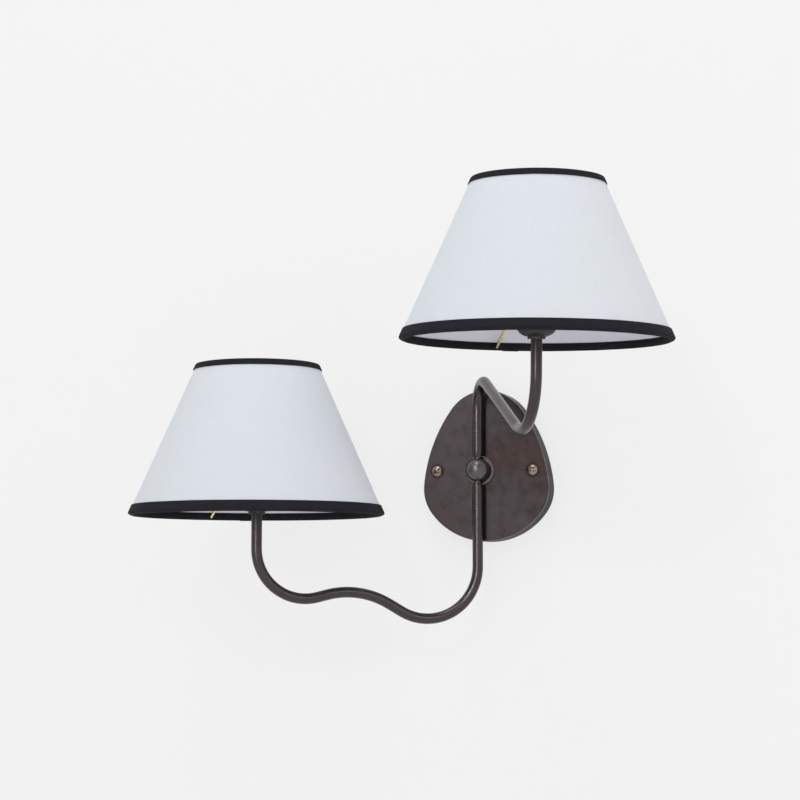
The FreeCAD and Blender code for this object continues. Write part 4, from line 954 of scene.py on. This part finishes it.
def bind_shade(arm):
    """The cloth and the tapes that bind its two rims, each with the tape's lapped end."""
    head = head_place(arm)
    seam = math.radians(SEAM_HEADING - SWING[arm])
    for end, sections in TAPES.items():
        level = Matrix.Translation((0, 0, SHADE_RISE if end == "top" else 0.0))
        for word, corners in sections.items():
            whole = word == "tape"
            mesh = made_by(
                TAPE_BINDER, section_mesh(end, corners), "black_tape", Radius=SHADE[end],
                Whole=whole, Start=seam + TAPE_LAP_TURN[end], Sweep=TAPE_LAP / SHADE[end],
                Steps=TAPE_STEPS[end] if whole else TAPE_LAP_STEPS, Wobble=TAPE_WOBBLE[end],
                Wave=TAPE_WAVE, Seed=TAPE_SEED + level.translation.z)
            new_piece(
                f"{arm}_{end}_{word}", mesh, "black_tape", arm, head @ level,
                [f"{end}_trim"], sharp=50.0)
    mesh, size, area = cut_cloth(arm)
    cloth = new_piece(
        f"{arm}_cloth", mesh, "white_cloth", arm, head, ["shade_cloth"])
    skin = cloth.modifiers.new("cloth", "SOLIDIFY")
    skin.thickness = CLOTH_THICKNESS
    skin.offset = -1.0


# ---- lampholders and lamps ---------------------------------------------------------------------

# Sections in millimetres: radius, height and corner radius. The cup stands on its washer.
CUP = (
    (4.0, 0, 0), (10.0, 0, 4.5), (14.2, 2.5, 5.0), (16.0, 5.0, 3.5), (16.0, 9.5, 0.3),
    (14.8, 9.5, 0.3), (14.8, 5.4, 2.0), (13.3, 3.4, 2.0), (9.6, 1.2, 1.0), (4.0, 1.2, 0),
)
CLAMP_RING = ((14.05, 53.0, 0.3), (18.3, 53.0, 0.5), (18.3, 58.0, 0.5), (14.05, 58.0, 0.3))
# The lamp's glass in millimetres, with the globe's arc in degrees.
GLOBE_RADIUS, GLOBE_MIDDLE = 22.5, 84.5
GLOBE_START, GLOBE_SWEEP, GLOBE_STEPS = -43.5, 133.5, 40
THROAT_RADIUS, THROAT_FOOT, THROAT_TOP, THROAT_STEPS = 6.8, 51.0, 56.0, 9
GLASS_WALL = 0.8


def turned_section(section, low, sides, steps):
    outline = [(radius / 1000, low + height / 1000) for radius, height, _ in section]
    return turned(rounded(outline, [corner / 1000 for _, _, corner in section], steps), sides)


def spin_cup(arm):
    """The holder's cup, spun from sheet: a flat floor, a round belly and a straight rim."""
    mesh = turned_section(CUP, TUBE_END + WASHER_HEIGHT, sides=128, steps=8)
    new_piece(f"{arm}_spun_cup", mesh, "bronze", arm, head_place(arm), ["holder_cup"])


def mould_ring(arm):
    """The ring that clamps the shade's carrier, with ribs for the fingers."""
    ring = turned_section(CLAMP_RING, 0.0, sides=96, steps=4)
    mesh = made_by(RIBBER, ring, "black_plastic")
    new_piece(
        f"{arm}_ribbed_ring", mesh, "black_plastic", arm, head_place(arm),
        ["shade_ring"])


def glass_outline(inset):
    """Radius and height along the glass from its foot to its crown, so far inside the surface."""
    radius = GLOBE_RADIUS - inset
    angles = [math.radians(GLOBE_START + GLOBE_SWEEP * step / GLOBE_STEPS)
              for step in range(GLOBE_STEPS + 1)]
    globe = [(max(0.0, radius * math.cos(angle)), GLOBE_MIDDLE + radius * math.sin(angle))
             for angle in angles]
    narrow = THROAT_RADIUS - inset
    wide, level = globe[0]
    throat = [(narrow, THROAT_FOOT), (narrow, THROAT_TOP)]
    for step in range(1, THROAT_STEPS):
        share = step / THROAT_STEPS
        eased = share * share * (1.6 - 0.6 * share)
        throat.append((narrow + (wide - narrow) * eased, THROAT_TOP + (level - THROAT_TOP) * share))
    return throat + globe


def blow_lamp(arm):
    """The lamp's glass: a globe that narrows to a neck, with a thin wall."""
    outline = glass_outline(0.0) + glass_outline(GLASS_WALL)[::-1]
    mesh = turned([(radius / 1000, height / 1000) for radius, height in outline], sides=96)
    new_piece(
        f"{arm}_lamp_globe", mesh, "frosted_glass", arm, head_place(arm),
        ["lamp_glass"])


for arm in ARMS:
    bend_tube(arm)
    bind_shade(arm)
    spin_cup(arm)
    mould_ring(arm)
    blow_lamp(arm)
